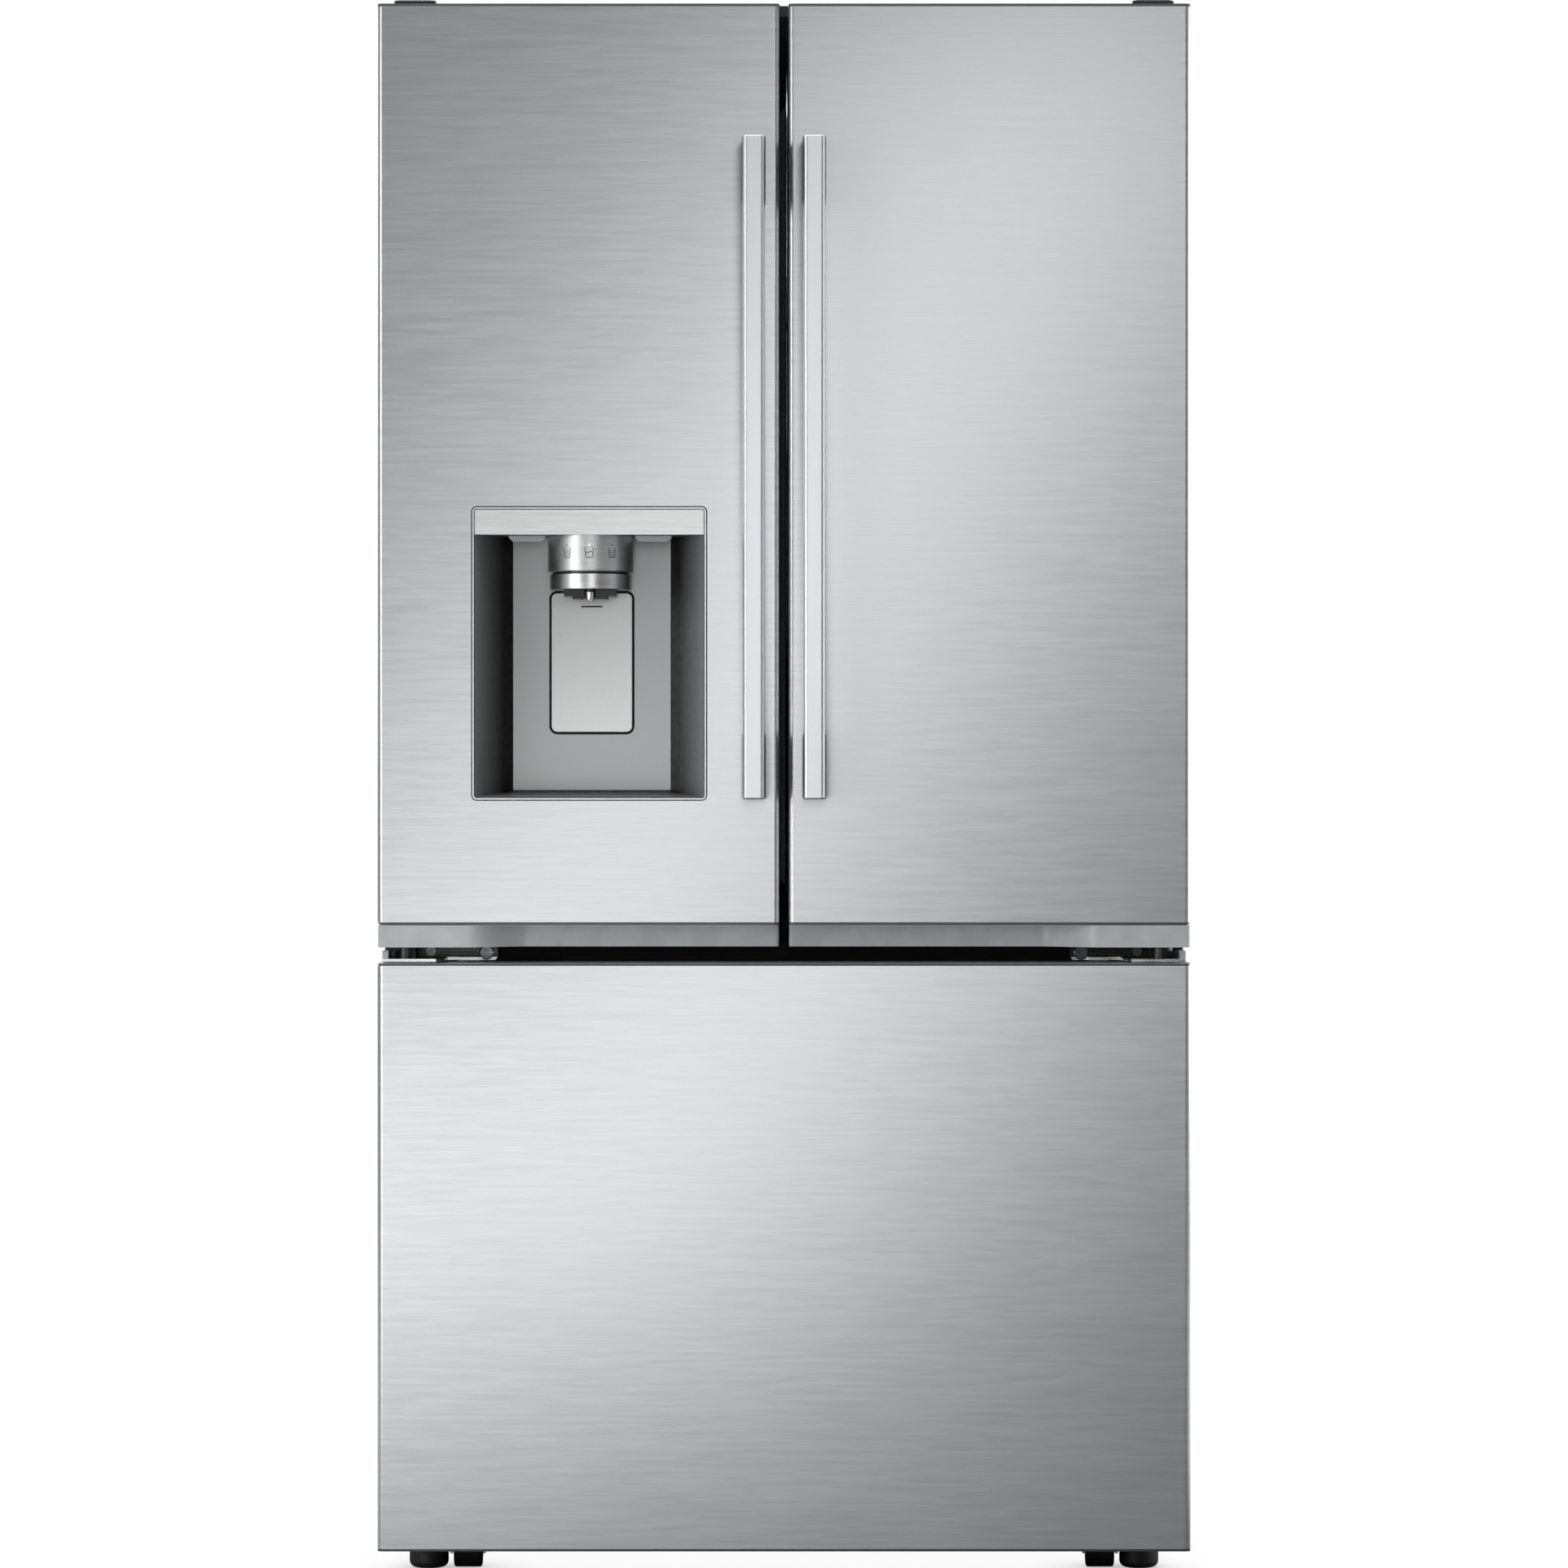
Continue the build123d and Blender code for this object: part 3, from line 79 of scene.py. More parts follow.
# ---------------------------------------------------------------- materials: wiring helpers
class Finish:
    """A Principled material, with short calls for the textures that feed it."""

    def __init__(self, name, color, roughness, metallic=0.0, **constants):
        self.material = bpy.data.materials.new(name)
        self.material.use_nodes = True
        self.nodes = self.material.node_tree.nodes
        self.links = self.material.node_tree.links
        self.shader = self.nodes["Principled BSDF"]
        self.place = self.nodes.new("ShaderNodeTexCoord").outputs["Object"]
        self.set("Base Color", (*color, 1.0))
        self.set("Roughness", roughness)
        self.set("Metallic", metallic)
        for socket, value in constants.items():
            self.set(socket.replace("_", " "), value)

    def set(self, socket, value):
        self.shader.inputs[socket].default_value = value

    def feed(self, output, socket):
        self.links.new(output, self.shader.inputs[socket])

    def noise(self, scale, stretch=(1, 1, 1), detail=3.0, roughness=0.55):
        """Noise of so many features per metre; a stretch over 1 lengthens them along that axis."""
        mapping = self.nodes.new("ShaderNodeMapping")
        mapping.inputs["Scale"].default_value = [1 / s for s in stretch]
        self.links.new(self.place, mapping.inputs["Vector"])
        texture = self.nodes.new("ShaderNodeTexNoise")
        texture.inputs["Scale"].default_value = scale
        texture.inputs["Detail"].default_value = detail
        texture.inputs["Roughness"].default_value = roughness
        self.links.new(mapping.outputs["Vector"], texture.inputs["Vector"])
        return texture.outputs["Fac"]

    def cells(self, scale, feature="DISTANCE_TO_EDGE"):
        texture = self.nodes.new("ShaderNodeTexVoronoi")
        texture.feature = feature
        texture.inputs["Scale"].default_value = scale
        self.links.new(self.place, texture.inputs["Vector"])
        return texture.outputs["Distance"]

    def axis(self, name):
        """The object-space position along one axis."""
        split = self.nodes.new("ShaderNodeSeparateXYZ")
        self.links.new(self.place, split.inputs["Vector"])
        return split.outputs[name]

    def remap(self, value, low, high, start=0.35, end=0.65, smooth=False):
        node = self.nodes.new("ShaderNodeMapRange")
        node.interpolation_type = "SMOOTHSTEP" if smooth else "LINEAR"
        self.links.new(value, node.inputs["Value"])
        for socket, number in (("From Min", start), ("From Max", end), ("To Min", low), ("To Max", high)):
            node.inputs[socket].default_value = number
        return node.outputs["Result"]

    def mix_color(self, factor, first, second):
        node = self.nodes.new("ShaderNodeMix")
        node.data_type = "RGBA"
        self.links.new(factor, node.inputs["Factor"])
        for index, color in ((6, first), (7, second)):
            if isinstance(color, bpy.types.NodeSocket):
                self.links.new(color, node.inputs[index])
            else:
                node.inputs[index].default_value = (*color, 1.0)
        return node.outputs[2]

    def vary_color(self, value, dark, light, start=0.35, end=0.65):
        """Base colour from dark to light as value goes from start to end."""
        self.feed(self.mix_color(self.remap(value, 0, 1, start, end), dark, light), "Base Color")

    def color_bands(self, bands, grain=0.06):
        """Bands of colour by height: (lowest z, color) from the bottom up, with a little mottling."""
        low, high = bands[0][0], bands[-1][0] + 0.1
        ramp = self.nodes.new("ShaderNodeValToRGB")
        ramp.color_ramp.interpolation = "CONSTANT"
        self.links.new(self.remap(self.axis("Z"), 0, 1, low, high), ramp.inputs["Fac"])
        for index, (z, color) in enumerate(bands):
            share = (z - low) / (high - low)
            stop = ramp.color_ramp.elements[0] if index == 0 else ramp.color_ramp.elements.new(share)
            stop.position = share
            stop.color = (*color, 1.0)
        ramp.color_ramp.elements.remove(ramp.color_ramp.elements[-1])
        mottle = self.nodes.new("ShaderNodeMix")
        mottle.data_type = "RGBA"
        mottle.blend_type = "MULTIPLY"
        mottle.inputs["Factor"].default_value = 1.0
        self.links.new(ramp.outputs["Color"], mottle.inputs[6])
        tone = self.remap(self.noise(35), 1 - grain, 1 + grain)
        self.links.new(tone, mottle.inputs[7])
        self.feed(mottle.outputs[2], "Base Color")

    def vary_roughness(self, value, low, high):
        self.feed(self.remap(value, low, high), "Roughness")

    def bump(self, height, distance, strength=1.0):
        node = self.nodes.new("ShaderNodeBump")
        node.inputs["Distance"].default_value = distance
        node.inputs["Strength"].default_value = strength
        self.links.new(height, node.inputs["Height"])
        current = self.shader.inputs["Normal"]
        if current.is_linked:
            self.links.new(current.links[0].from_socket, node.inputs["Normal"])
        self.feed(node.outputs["Normal"], "Normal")


def shade(color, factor):
    return tuple(min(1.0, channel * factor) for channel in color)


# ---------------------------------------------------------------- materials: metals
def brushed(name, color, roughness, contrast=0.075, length=30.0, anisotropy=0.45, lean=0.0):
    """Rolled sheet with fine level grain: hair lines a millimetre high and some centimetres long.

    lean is the slope, across the sheet, at which a slightly uneven panel stands.
    """
    finish = Finish(name, color, roughness, 1.0, Anisotropic=anisotropy)
    tangent = finish.nodes.new("ShaderNodeTangent")
    tangent.direction_type = "RADIAL"
    tangent.axis = "Z"
    finish.feed(tangent.outputs["Tangent"], "Tangent")
    hair = finish.noise(1100, (length, length, 1), 4.0, 0.6)
    streak = finish.noise(260, (length * 0.8, length * 0.8, 1), 3.0, 0.55)
    both = finish.nodes.new("ShaderNodeMath")
    both.operation = "ADD"
    finish.links.new(hair, both.inputs[0])
    finish.links.new(streak, both.inputs[1])
    finish.vary_color(both.outputs[0], shade(color, 1 - contrast), shade(color, 1 + contrast), 0.75, 1.25)
    finish.feed(finish.remap(both.outputs[0], roughness - 0.02, roughness + 0.02, 0.75, 1.25), "Roughness")
    finish.bump(hair, 0.003 * MM, 0.5)
    if lean:
        finish.bump(finish.axis("X"), lean)
    return finish.material


def satin_metal(name, color, roughness):
    """Anodised bar: very fine upright grain."""
    finish = Finish(name, color, roughness, 1.0)
    grain = finish.noise(1500, (1, 1, 60), 3.0)
    finish.vary_color(grain, shade(color, 0.97), shade(color, 1.03))
    finish.vary_roughness(grain, roughness - 0.02, roughness + 0.02)
    finish.bump(grain, 0.002 * MM, 0.4)
    return finish.material


def plated(name, color, roughness):
    """Zinc or chrome plate with faint mottling and handling marks."""
    finish = Finish(name, color, roughness, 1.0)
    mottle = finish.noise(55, detail=5)
    finish.vary_color(mottle, shade(color, 0.9), shade(color, 1.06))
    finish.vary_roughness(finish.noise(140, (6, 1, 1)), roughness * 0.8, roughness * 1.3)
    finish.bump(finish.noise(900), 0.02 * MM, 0.4)
    return finish.material


def galvanised(name, color):
    """Bare coated sheet with crystal spangle."""
    finish = Finish(name, color, 0.42, 0.85)
    spangle = finish.cells(70, "F1")
    finish.vary_color(spangle, shade(color, 0.84), shade(color, 1.1), 0.0, 0.02)
    finish.vary_roughness(finish.noise(60), 0.34, 0.5)
    finish.bump(finish.noise(400, detail=4), 0.05 * MM, 0.4)
    return finish.material


# ---------------------------------------------------------------- materials: paint, plastic, rubber, glass
def painted(name, color, roughness=0.38, peel=0.06):
    """Powder coat: orange peel, and slow change of shade over the panel."""
    finish = Finish(name, color, roughness, 0.0, Coat_Weight=0.15, Coat_Roughness=0.3)
    finish.vary_color(finish.noise(2.5, detail=2), shade(color, 0.94), shade(color, 1.06))
    finish.vary_roughness(finish.noise(700), roughness - 0.05, roughness + 0.08)
    finish.bump(finish.noise(650, detail=2), peel * MM, 0.6)
    return finish.material


def moulded(name, color, roughness=0.4, grain=900, depth=0.03, **constants):
    """Injection moulded plastic with a fine erosion grain."""
    finish = Finish(name, color, roughness, 0.0, **constants)
    finish.vary_color(finish.noise(9, detail=3), shade(color, 0.95), shade(color, 1.05))
    finish.vary_roughness(finish.noise(160), roughness - 0.04, roughness + 0.06)
    finish.bump(finish.noise(grain, detail=2), depth * MM, 0.6)
    return finish.material


def banded_plastic(name, bands, roughness=0.4):
    """Moulding coloured in bands by height for its lips and grooves; the near-black groove bands are
    painted shade.
    """
    finish = Finish(name, bands[0][1], roughness, 0.0, Coat_Weight=0.1)
    finish.color_bands(bands)
    finish.vary_roughness(finish.noise(160), roughness - 0.04, roughness + 0.06)
    finish.bump(finish.noise(900, detail=2), 0.03 * MM, 0.6)
    return finish.material


def split_metal(name, color, roughness, low, high):
    """Brushed metal between two heights, black below and above them: black plastic on the nozzle's outlet,
    painted shade on the control ring's neck and on the hinge brackets above their bright strip.
    """
    finish = Finish(name, color, roughness)
    above = finish.remap(finish.axis("Z"), 0, 1, low, low + 0.1 * MM)
    below = finish.remap(finish.axis("Z"), 1, 0, high, high + 0.1 * MM)
    inside = finish.nodes.new("ShaderNodeMath")
    inside.operation = "MULTIPLY"
    finish.links.new(above, inside.inputs[0])
    finish.links.new(below, inside.inputs[1])
    hair = finish.remap(finish.noise(900, (20, 20, 1), 4.0), 0, 1)
    metal = finish.mix_color(hair, shade(color, 0.9), shade(color, 1.1))
    finish.feed(finish.mix_color(inside.outputs[0], BLACK_BASE, metal), "Base Color")
    finish.feed(inside.outputs[0], "Metallic")
    finish.vary_roughness(hair, roughness - 0.03, roughness + 0.04)
    finish.bump(hair, 0.01 * MM, 0.4)
    return finish.material


def rubber(name, color):
    finish = Finish(name, color, 0.62, 0.0, Sheen_Weight=0.15, Sheen_Roughness=0.5)
    finish.vary_color(finish.noise(30), shade(color, 0.85), shade(color, 1.12))
    finish.vary_roughness(finish.noise(300), 0.55, 0.72)
    finish.bump(finish.noise(1200), 0.04 * MM, 0.7)
    return finish.material


def clear_plastic(name, tint, frost=0.06):
    finish = Finish(name, tint, frost, 0.0, Transmission_Weight=0.92, IOR=1.49)
    finish.vary_roughness(finish.noise(40), frost, frost + 0.05)
    finish.bump(finish.noise(90, detail=2), 0.08 * MM, 0.25)
    return finish.material


def safety_glass(name):
    finish = Finish(name, (0.86, 0.95, 0.92), 0.02, 0.0, Transmission_Weight=0.96, IOR=1.5)
    finish.vary_roughness(finish.noise(25), 0.01, 0.04)
    return finish.material


def lit_lens(name, color, glow):
    finish = Finish(name, color, 0.5, 0.0, Emission_Strength=glow, Transmission_Weight=0.2)
    finish.set("Emission Color", (*color, 1.0))
    finish.bump(finish.noise(1500), 0.03 * MM, 0.5)
    return finish.material


def rigid_foam(name):
    color = (0.78, 0.66, 0.40)
    finish = Finish(name, color, 0.85)
    finish.vary_color(finish.noise(25, detail=5), shade(color, 0.85), shade(color, 1.1))
    finish.bump(finish.cells(450), 0.4 * MM, 0.5)
    return finish.material


def niche_plastic_painted_shade(name):
    """Dark grey niche with painted shade: lighter towards its mouth, near black towards its back."""
    finish = Finish(name, (0.04, 0.042, 0.045), 0.42, 0.0, Specular_IOR_Level=0.2)
    # painted shade: colour runs from light grey at the mouth to near black at the back
    finish.vary_color(finish.axis("Y"), (0.23, 0.235, 0.24), (0.004, 0.004, 0.0045), -0.393, -0.325)
    finish.vary_roughness(finish.noise(120), 0.38, 0.48)
    finish.bump(finish.noise(800), 0.01 * MM, 0.4)
    return finish.material


def satin_panel(name, color, roughness=0.36, z=(0.95, 1.11), top_painted_shade=0.85):
    """Metallic paint on plastic: a soft shine, with painted shade that makes it darker towards the top of
    the niche.
    """
    finish = Finish(name, color, roughness, 0.75)
    flake = finish.remap(finish.noise(2600, detail=1), 0, 1)
    low = finish.mix_color(flake, shade(color, 0.96), shade(color, 1.06))
    high = finish.mix_color(flake, shade(color, 0.96 * top_painted_shade), shade(color, 1.04 * top_painted_shade))
    # painted shade: darker towards the top of the height range z
    height = finish.remap(finish.axis("Z"), 0, 1, z[0], z[1])
    finish.feed(finish.mix_color(height, low, high), "Base Color")
    finish.vary_roughness(finish.noise(1200), roughness - 0.01, roughness + 0.01)
    finish.bump(finish.noise(1600), 0.004 * MM, 0.4)
    return finish.material


STEEL = brushed("door_steel", (0.615, 0.625, 0.645), 0.31)
DRAWER_STEEL = brushed("drawer_steel", (0.615, 0.625, 0.645), 0.31, lean=0.048)
HEADER_STEEL = brushed("header_steel", (0.72, 0.725, 0.73), 0.34, contrast=0.09)
# the black below the ring's metal is painted shade in its neck groove
RING_STEEL = split_metal("ring_steel", (0.62, 0.625, 0.63), 0.40, 1.1334, 1.3)
COLLAR_STEEL = split_metal("collar_steel", (0.72, 0.725, 0.73), 0.32, 1.1137, 1.1306)
HANDLE_METAL = satin_metal("handle_metal", (0.74, 0.755, 0.79), 0.36)
POST_METAL = satin_metal("handle_post_metal", (0.11, 0.112, 0.115), 0.42)
ZINC = plated("zinc_plate", (0.66, 0.67, 0.68), 0.22)
CHROME = plated("chrome", (0.82, 0.82, 0.83), 0.06)
COPPER = plated("copper_pipe", (0.72, 0.36, 0.22), 0.25)
GALVANISED = galvanised("galvanised_sheet", (0.55, 0.56, 0.57))
CASE_PAINT = painted("case_paint", (0.085, 0.088, 0.093))
BLACK_PAINT = painted("black_paint", (0.012, 0.012, 0.013), 0.3)
CAP_SHADE = (0.54, 0.56, 0.575)
# near-black painted shade in the grooves of the door feet and the drawer's end caps
GROOVE_PAINTED_SHADE = (0.006, 0.006, 0.007)
CAP_GREY = moulded("cap_grey", CAP_SHADE, 0.4, Coat_Weight=0.1)
DOOR_FOOT = banded_plastic("door_foot", ((0.7, CAP_SHADE), (0.7375, GROOVE_PAINTED_SHADE),
                                         (0.739, (0.13, 0.135, 0.14))))
# the black above the hinge brackets' bright lower strip is painted shade
HINGE_METAL = split_metal("hinge_metal", (0.86, 0.865, 0.87), 0.28, 0.6, 0.6994)
BOLT_DARK = plated("bolt_dark", (0.16, 0.162, 0.165), 0.3)
DRAWER_EDGES = banded_plastic("drawer_edges", ((0.0, (0.05, 0.052, 0.055)), (0.6925, GROOVE_PAINTED_SHADE),
                                               (0.6938, (0.42, 0.43, 0.44))))
CAP_DARK = moulded("cap_dark", (0.10, 0.105, 0.11), 0.45)
COVER_BLACK = moulded("cover_black", (0.022, 0.023, 0.025), 0.5, grain=700, depth=0.06)
BLACK_PLASTIC = moulded("black_plastic", BLACK_BASE, 0.5)
GAP_BLACK = moulded("gap_black", (0.005, 0.005, 0.006), 0.6, Specular_IOR_Level=0.15)
LINER_WHITE = moulded("liner_white", (0.83, 0.84, 0.845), 0.3, grain=250, depth=0.02, Coat_Weight=0.2)
TRIM_WHITE = moulded("trim_white", (0.88, 0.89, 0.89), 0.25, grain=300, depth=0.01)
VALVE_WHITE = moulded("valve_white", (0.72, 0.72, 0.68), 0.45)
GASKET_GREY = rubber("gasket_grey", (0.30, 0.305, 0.31))
SOFT_BLACK = rubber("soft_black", (0.02, 0.02, 0.02))
CLEAR = clear_plastic("clear_plastic", (0.93, 0.96, 0.98))
GLASS = safety_glass("safety_glass")
LAMP = lit_lens("lamp_lens", (0.95, 0.96, 0.95), 0.35)
NICHE_LAMP = lit_lens("niche_lamp", (0.34, 0.35, 0.36), 0.22)
LED_WHITE = lit_lens("led_white", (1.0, 1.0, 1.0), 1.2)
FOAM = rigid_foam("insulation_foam")
NICHE_PAINTED_SHADE = niche_plastic_painted_shade("niche_painted_shade")
# painted shade: the niche's back panel and the lever darken towards the top
NICHE_PANEL = satin_panel("niche_panel", (0.42, 0.425, 0.43), z=(0.95, 1.17), top_painted_shade=0.8)
LEVER_PANEL = satin_panel("lever_panel", (0.66, 0.665, 0.67), 0.33, top_painted_shade=0.68)
INK = moulded("icon_ink", (0.02, 0.02, 0.022), 0.5)


# ---------------------------------------------------------------- CAD nodes: materials and softened edges
def soften(node, width, angle=38.0, segments=2):
    """Rounds the sharp edges of a CAD node with modifiers. Its mesh stays as packed."""
    weld = NODES[node].modifiers.new("weld", "WELD")
    weld.merge_threshold = 0.001 * MM
    bevel = NODES[node].modifiers.new("edges", "BEVEL")
    bevel.width = width * MM
    bevel.segments = segments
    bevel.limit_method = "ANGLE"
    bevel.angle_limit = math.radians(angle)
    bevel.harden_normals = True
    bevel.use_clamp_overlap = True
    NODES[node].modifiers.new("normals", "WEIGHTED_NORMAL").keep_sharp = False


# node: (material, rounding in millimetres)
CAD_LOOKS = {
    "cabinet_shell": (CASE_PAINT, 0.5),
    "cabinet_foam": (FOAM, 0),
    "fridge_liner": (LINER_WHITE, 0.8),
    "freezer_liner": (LINER_WHITE, 0.8),
    "center_crossbar": (GAP_BLACK, 0.5),
    "base_frame": (GALVANISED, 0.5),
    "machine_cover": (GALVANISED, 0),
    "power_cord_gland": (SOFT_BLACK, 0.6),
    "water_inlet_valve": (VALVE_WHITE, 0.4),
    "compressor": (BLACK_PAINT, 0.8),
    "condenser_coil": (BLACK_PAINT, 0),
    "condenser_fan_shroud": (BLACK_PLASTIC, 0.5),
    "condenser_fan_blade": (BLACK_PLASTIC, 0.3),
    "top_hinge_brackets": (ZINC, 0.6),
    "top_hinge_covers": (COVER_BLACK, 0.9),
    "middle_hinge_brackets": (HINGE_METAL, 0.3),
    "hinge_bolts": (BOLT_DARK, 0.4),
    "glass_shelves": (GLASS, 0.6),
    "shelf_trims": (TRIM_WHITE, 0.5),
    "interior_drawers": (CLEAR, 0.6),
    "fridge_air_duct": (LINER_WHITE, 1.5),
    "interior_light": (LAMP, 1.5),
    "front_rollers": (BLACK_PLASTIC, 0.5),
    "rear_rollers": (BLACK_PLASTIC, 0.5),
    "leveling_foot_left": (BLACK_PLASTIC, 0.6),
    "leveling_foot_right": (BLACK_PLASTIC, 0.6),
    "left_door_skin": (STEEL, 0.25),
    "left_door_inner_panel": (LINER_WHITE, 3.0),
    "left_door_top_cap": (CAP_DARK, 0.5),
    "left_door_bottom_cap": (DOOR_FOOT, 0),
    "left_handle_bar": (HANDLE_METAL, 0),
    "left_handle_posts": (POST_METAL, 0),
    "left_door_bins": (CLEAR, 0.8),
    "ice_maker_housing": (LINER_WHITE, 1.0),
    "mullion_hinge": (BLACK_PLASTIC, 0.5),
    "mullion_bar": (GAP_BLACK, 0.5),
    "dispenser_fascia": (HEADER_STEEL, 0.3),
    "dispenser_recess": (NICHE_PAINTED_SHADE, 0.6),
    "dispenser_control_ring": (RING_STEEL, 0),
    "dispenser_nozzle": (COLLAR_STEEL, 0),
    "dispenser_lights": (NICHE_LAMP, 0.5),
    "dispenser_lever": (LEVER_PANEL, 0.5),
    "right_door_skin": (STEEL, 0.25),
    "right_door_inner_panel": (LINER_WHITE, 3.0),
    "right_door_top_cap": (CAP_DARK, 0.5),
    "right_door_bottom_cap": (DOOR_FOOT, 0),
    "right_handle_bar": (HANDLE_METAL, 0),
    "right_handle_posts": (POST_METAL, 0),
    "right_door_bins": (CLEAR, 0.8),
    "drawer_skin": (DRAWER_STEEL, 0.25),
    "drawer_inner_panel": (LINER_WHITE, 3.0),
    "drawer_end_caps": (DRAWER_EDGES, 0.3),
    "slide_rails": (ZINC, 0.3),
    "slide_middles": (ZINC, 0.3),
    "slide_inners": (ZINC, 0.3),
    "freezer_lower_bin": (CLEAR, 0.8),
    "left_door_gasket": (GASKET_GREY, 0.5),
    "right_door_gasket": (GASKET_GREY, 0.5),
    "drawer_gasket": (GASKET_GREY, 0.5),
}


def dress_cad_nodes():
    for node, (material, width) in CAD_LOOKS.items():
        slots = NODES[node].data.materials
        slots.clear()
        slots.append(material)
        if width:
            soften(node, width)


# ---------------------------------------------------------------- pieces: mesh helpers
def piece(name, body, material, fill, bevel=0.0, segments=3, smooth=35.0):
    """A new mesh that fill(bm) makes, with rounded edges, riding on a body."""
    bm = bmesh.new()
    fill(bm)
    bmesh.ops.recalc_face_normals(bm, faces=bm.faces)
    mesh = bpy.data.meshes.new(name)
    bm.to_mesh(mesh)
    bm.free()
    mesh.materials.append(material)
    mesh.polygons.foreach_set("use_smooth", [True] * len(mesh.polygons))
    mesh.set_sharp_from_angle(angle=math.radians(smooth))
    made = bpy.data.objects.new(name, mesh)
    bpy.context.scene.collection.objects.link(made)
    if bevel:
        modifier = made.modifiers.new("edges", "BEVEL")
        modifier.width = bevel * MM
        modifier.segments = segments
        modifier.limit_method = "ANGLE"
        modifier.angle_limit = math.radians(40)
        modifier.harden_normals = True
    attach(made, body)
    return made


def add_block(bm, x, y, z):
    """A box between (low, high) pairs."""
    result = bmesh.ops.create_cube(bm, size=1.0)
    size = Vector((x[1] - x[0], y[1] - y[0], z[1] - z[0]))
    middle = Vector((x[0] + x[1], y[0] + y[1], z[0] + z[1])) / 2
    for vert in result["verts"]:
        vert.co = Vector(a * b for a, b in zip(vert.co, size)) + middle


def add_prism(bm, near, far):
    """A closed solid between two equal outlines of points."""
    near = [bm.verts.new(point) for point in near]
    far = [bm.verts.new(point) for point in far]
    bm.faces.new(near)
    bm.faces.new(far)
    for index in range(len(near)):
        after = (index + 1) % len(near)
        bm.faces.new((near[index], near[after], far[after], far[index]))


def add_ring_sweep(bm, corners, profile):
    """Sweeps a closed profile round a rectangle. corners(inset, height) gives the four points."""
    rings = [[bm.verts.new(point) for point in corners(inset, height)] for inset, height in profile]
    for index, ring in enumerate(rings):
        after = rings[(index + 1) % len(rings)]
        for side in range(4):
            turn = (side + 1) % 4
            bm.faces.new((ring[side], ring[turn], after[turn], after[side]))


def upright_rectangle(x, z):
    """Corners of a rectangle in the XZ plane, for add_ring_sweep; height is Y."""
    def corners(inset, y):
        left, right = x[0] + inset, x[1] - inset
        low, high = z[0] + inset, z[1] - inset
        return (left, y, low), (right, y, low), (right, y, high), (left, y, high)
    return corners


def level_rectangle(x, y):
    """Corners of a rectangle in the XY plane, for add_ring_sweep; height is Z."""
    def corners(inset, z):
        left, right = x[0] + inset, x[1] - inset
        front, back = y[0] + inset, y[1] - inset
        return (left, front, z), (right, front, z), (right, back, z), (left, back, z)
    return corners


def add_lathe(bm, centre, axis, profile, steps=40):
    """A solid of revolution: profile is (radius, distance along axis), from end to end."""
    axis = Vector(axis).normalized()
    side = axis.orthogonal().normalized()
    other = axis.cross(side)
    rings = []
    for radius, along in profile:
        base = Vector(centre) + axis * along
        if radius == 0:
            rings.append([bm.verts.new(base)])
            continue
        turn = [math.tau * step / steps for step in range(steps)]
        around = [side * math.cos(angle) + other * math.sin(angle) for angle in turn]
        rings.append([bm.verts.new(base + out * radius) for out in around])
    for first, second in zip(rings, rings[1:]):
        for step in range(steps):
            after = (step + 1) % steps
            if len(first) == 1:
                bm.faces.new((first[0], second[step], second[after]))
            elif len(second) == 1:
                bm.faces.new((first[step], first[after], second[0]))
            else:
                bm.faces.new((first[step], first[after], second[after], second[step]))
    for end in (rings[0], rings[-1]):
        if len(end) > 1:
            bm.faces.new(end)


def add_hex_screw(bm, centre, axis, radius):
    """Washer-head screw: a flat skirt with a six-sided head, recessed at its top."""
    skirt = [(1, 0), (1, 0.14), (0.72, 0.24), (0, 0.24)]
    head = [(0.62, 0.2), (0.62, 0.75), (0.45, 0.75), (0, 0.6)]
    for steps, profile in ((24, skirt), (6, head)):
        add_lathe(bm, centre, axis, [(radius * wide, radius * high) for wide, high in profile], steps)


def wires(name, body, material, paths, radius):
    """Bent wires as one curve. Each path is a list of points, closed if its ends are equal."""
    curve = bpy.data.curves.new(name, "CURVE")
    curve.dimensions = "3D"
    curve.bevel_depth = radius
    curve.bevel_resolution = 3
    curve.use_fill_caps = True
    for path in paths:
        closed = path[0] == path[-1]
        points = path[:-1] if closed else path
        spline = curve.splines.new("POLY")
        spline.points.add(len(points) - 1)
        for target, point in zip(spline.points, points):
            target.co = (*point, 1.0)
        spline.use_cyclic_u = closed
    curve.materials.append(material)
    made = bpy.data.objects.new(name, curve)
    bpy.context.scene.collection.objects.link(made)
    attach(made, body)
    return made


def rounded_route(points, radius, steps=5, closed=False):
    """The points of a bent wire, with each corner turned into an arc."""
    count = len(points)
    corners = [Vector(point) for point in points]
    route = []
    for index, here in enumerate(corners):
        if not closed and index in (0, count - 1):
            route.append(tuple(here))
            continue
        before = (corners[index - 1] - here).normalized()
        after = (corners[(index + 1) % count] - here).normalized()
        half = before.angle(after) / 2
        reach = radius / math.tan(half)
        centre = here + (before + after).normalized() * radius / math.sin(half)
        start = here + before * reach - centre
        end = here + after * reach - centre
        for step in range(steps + 1):
            route.append(tuple(centre + start.slerp(end, step / steps).normalized() * radius))
    if closed:
        route.append(route[0])
    return route


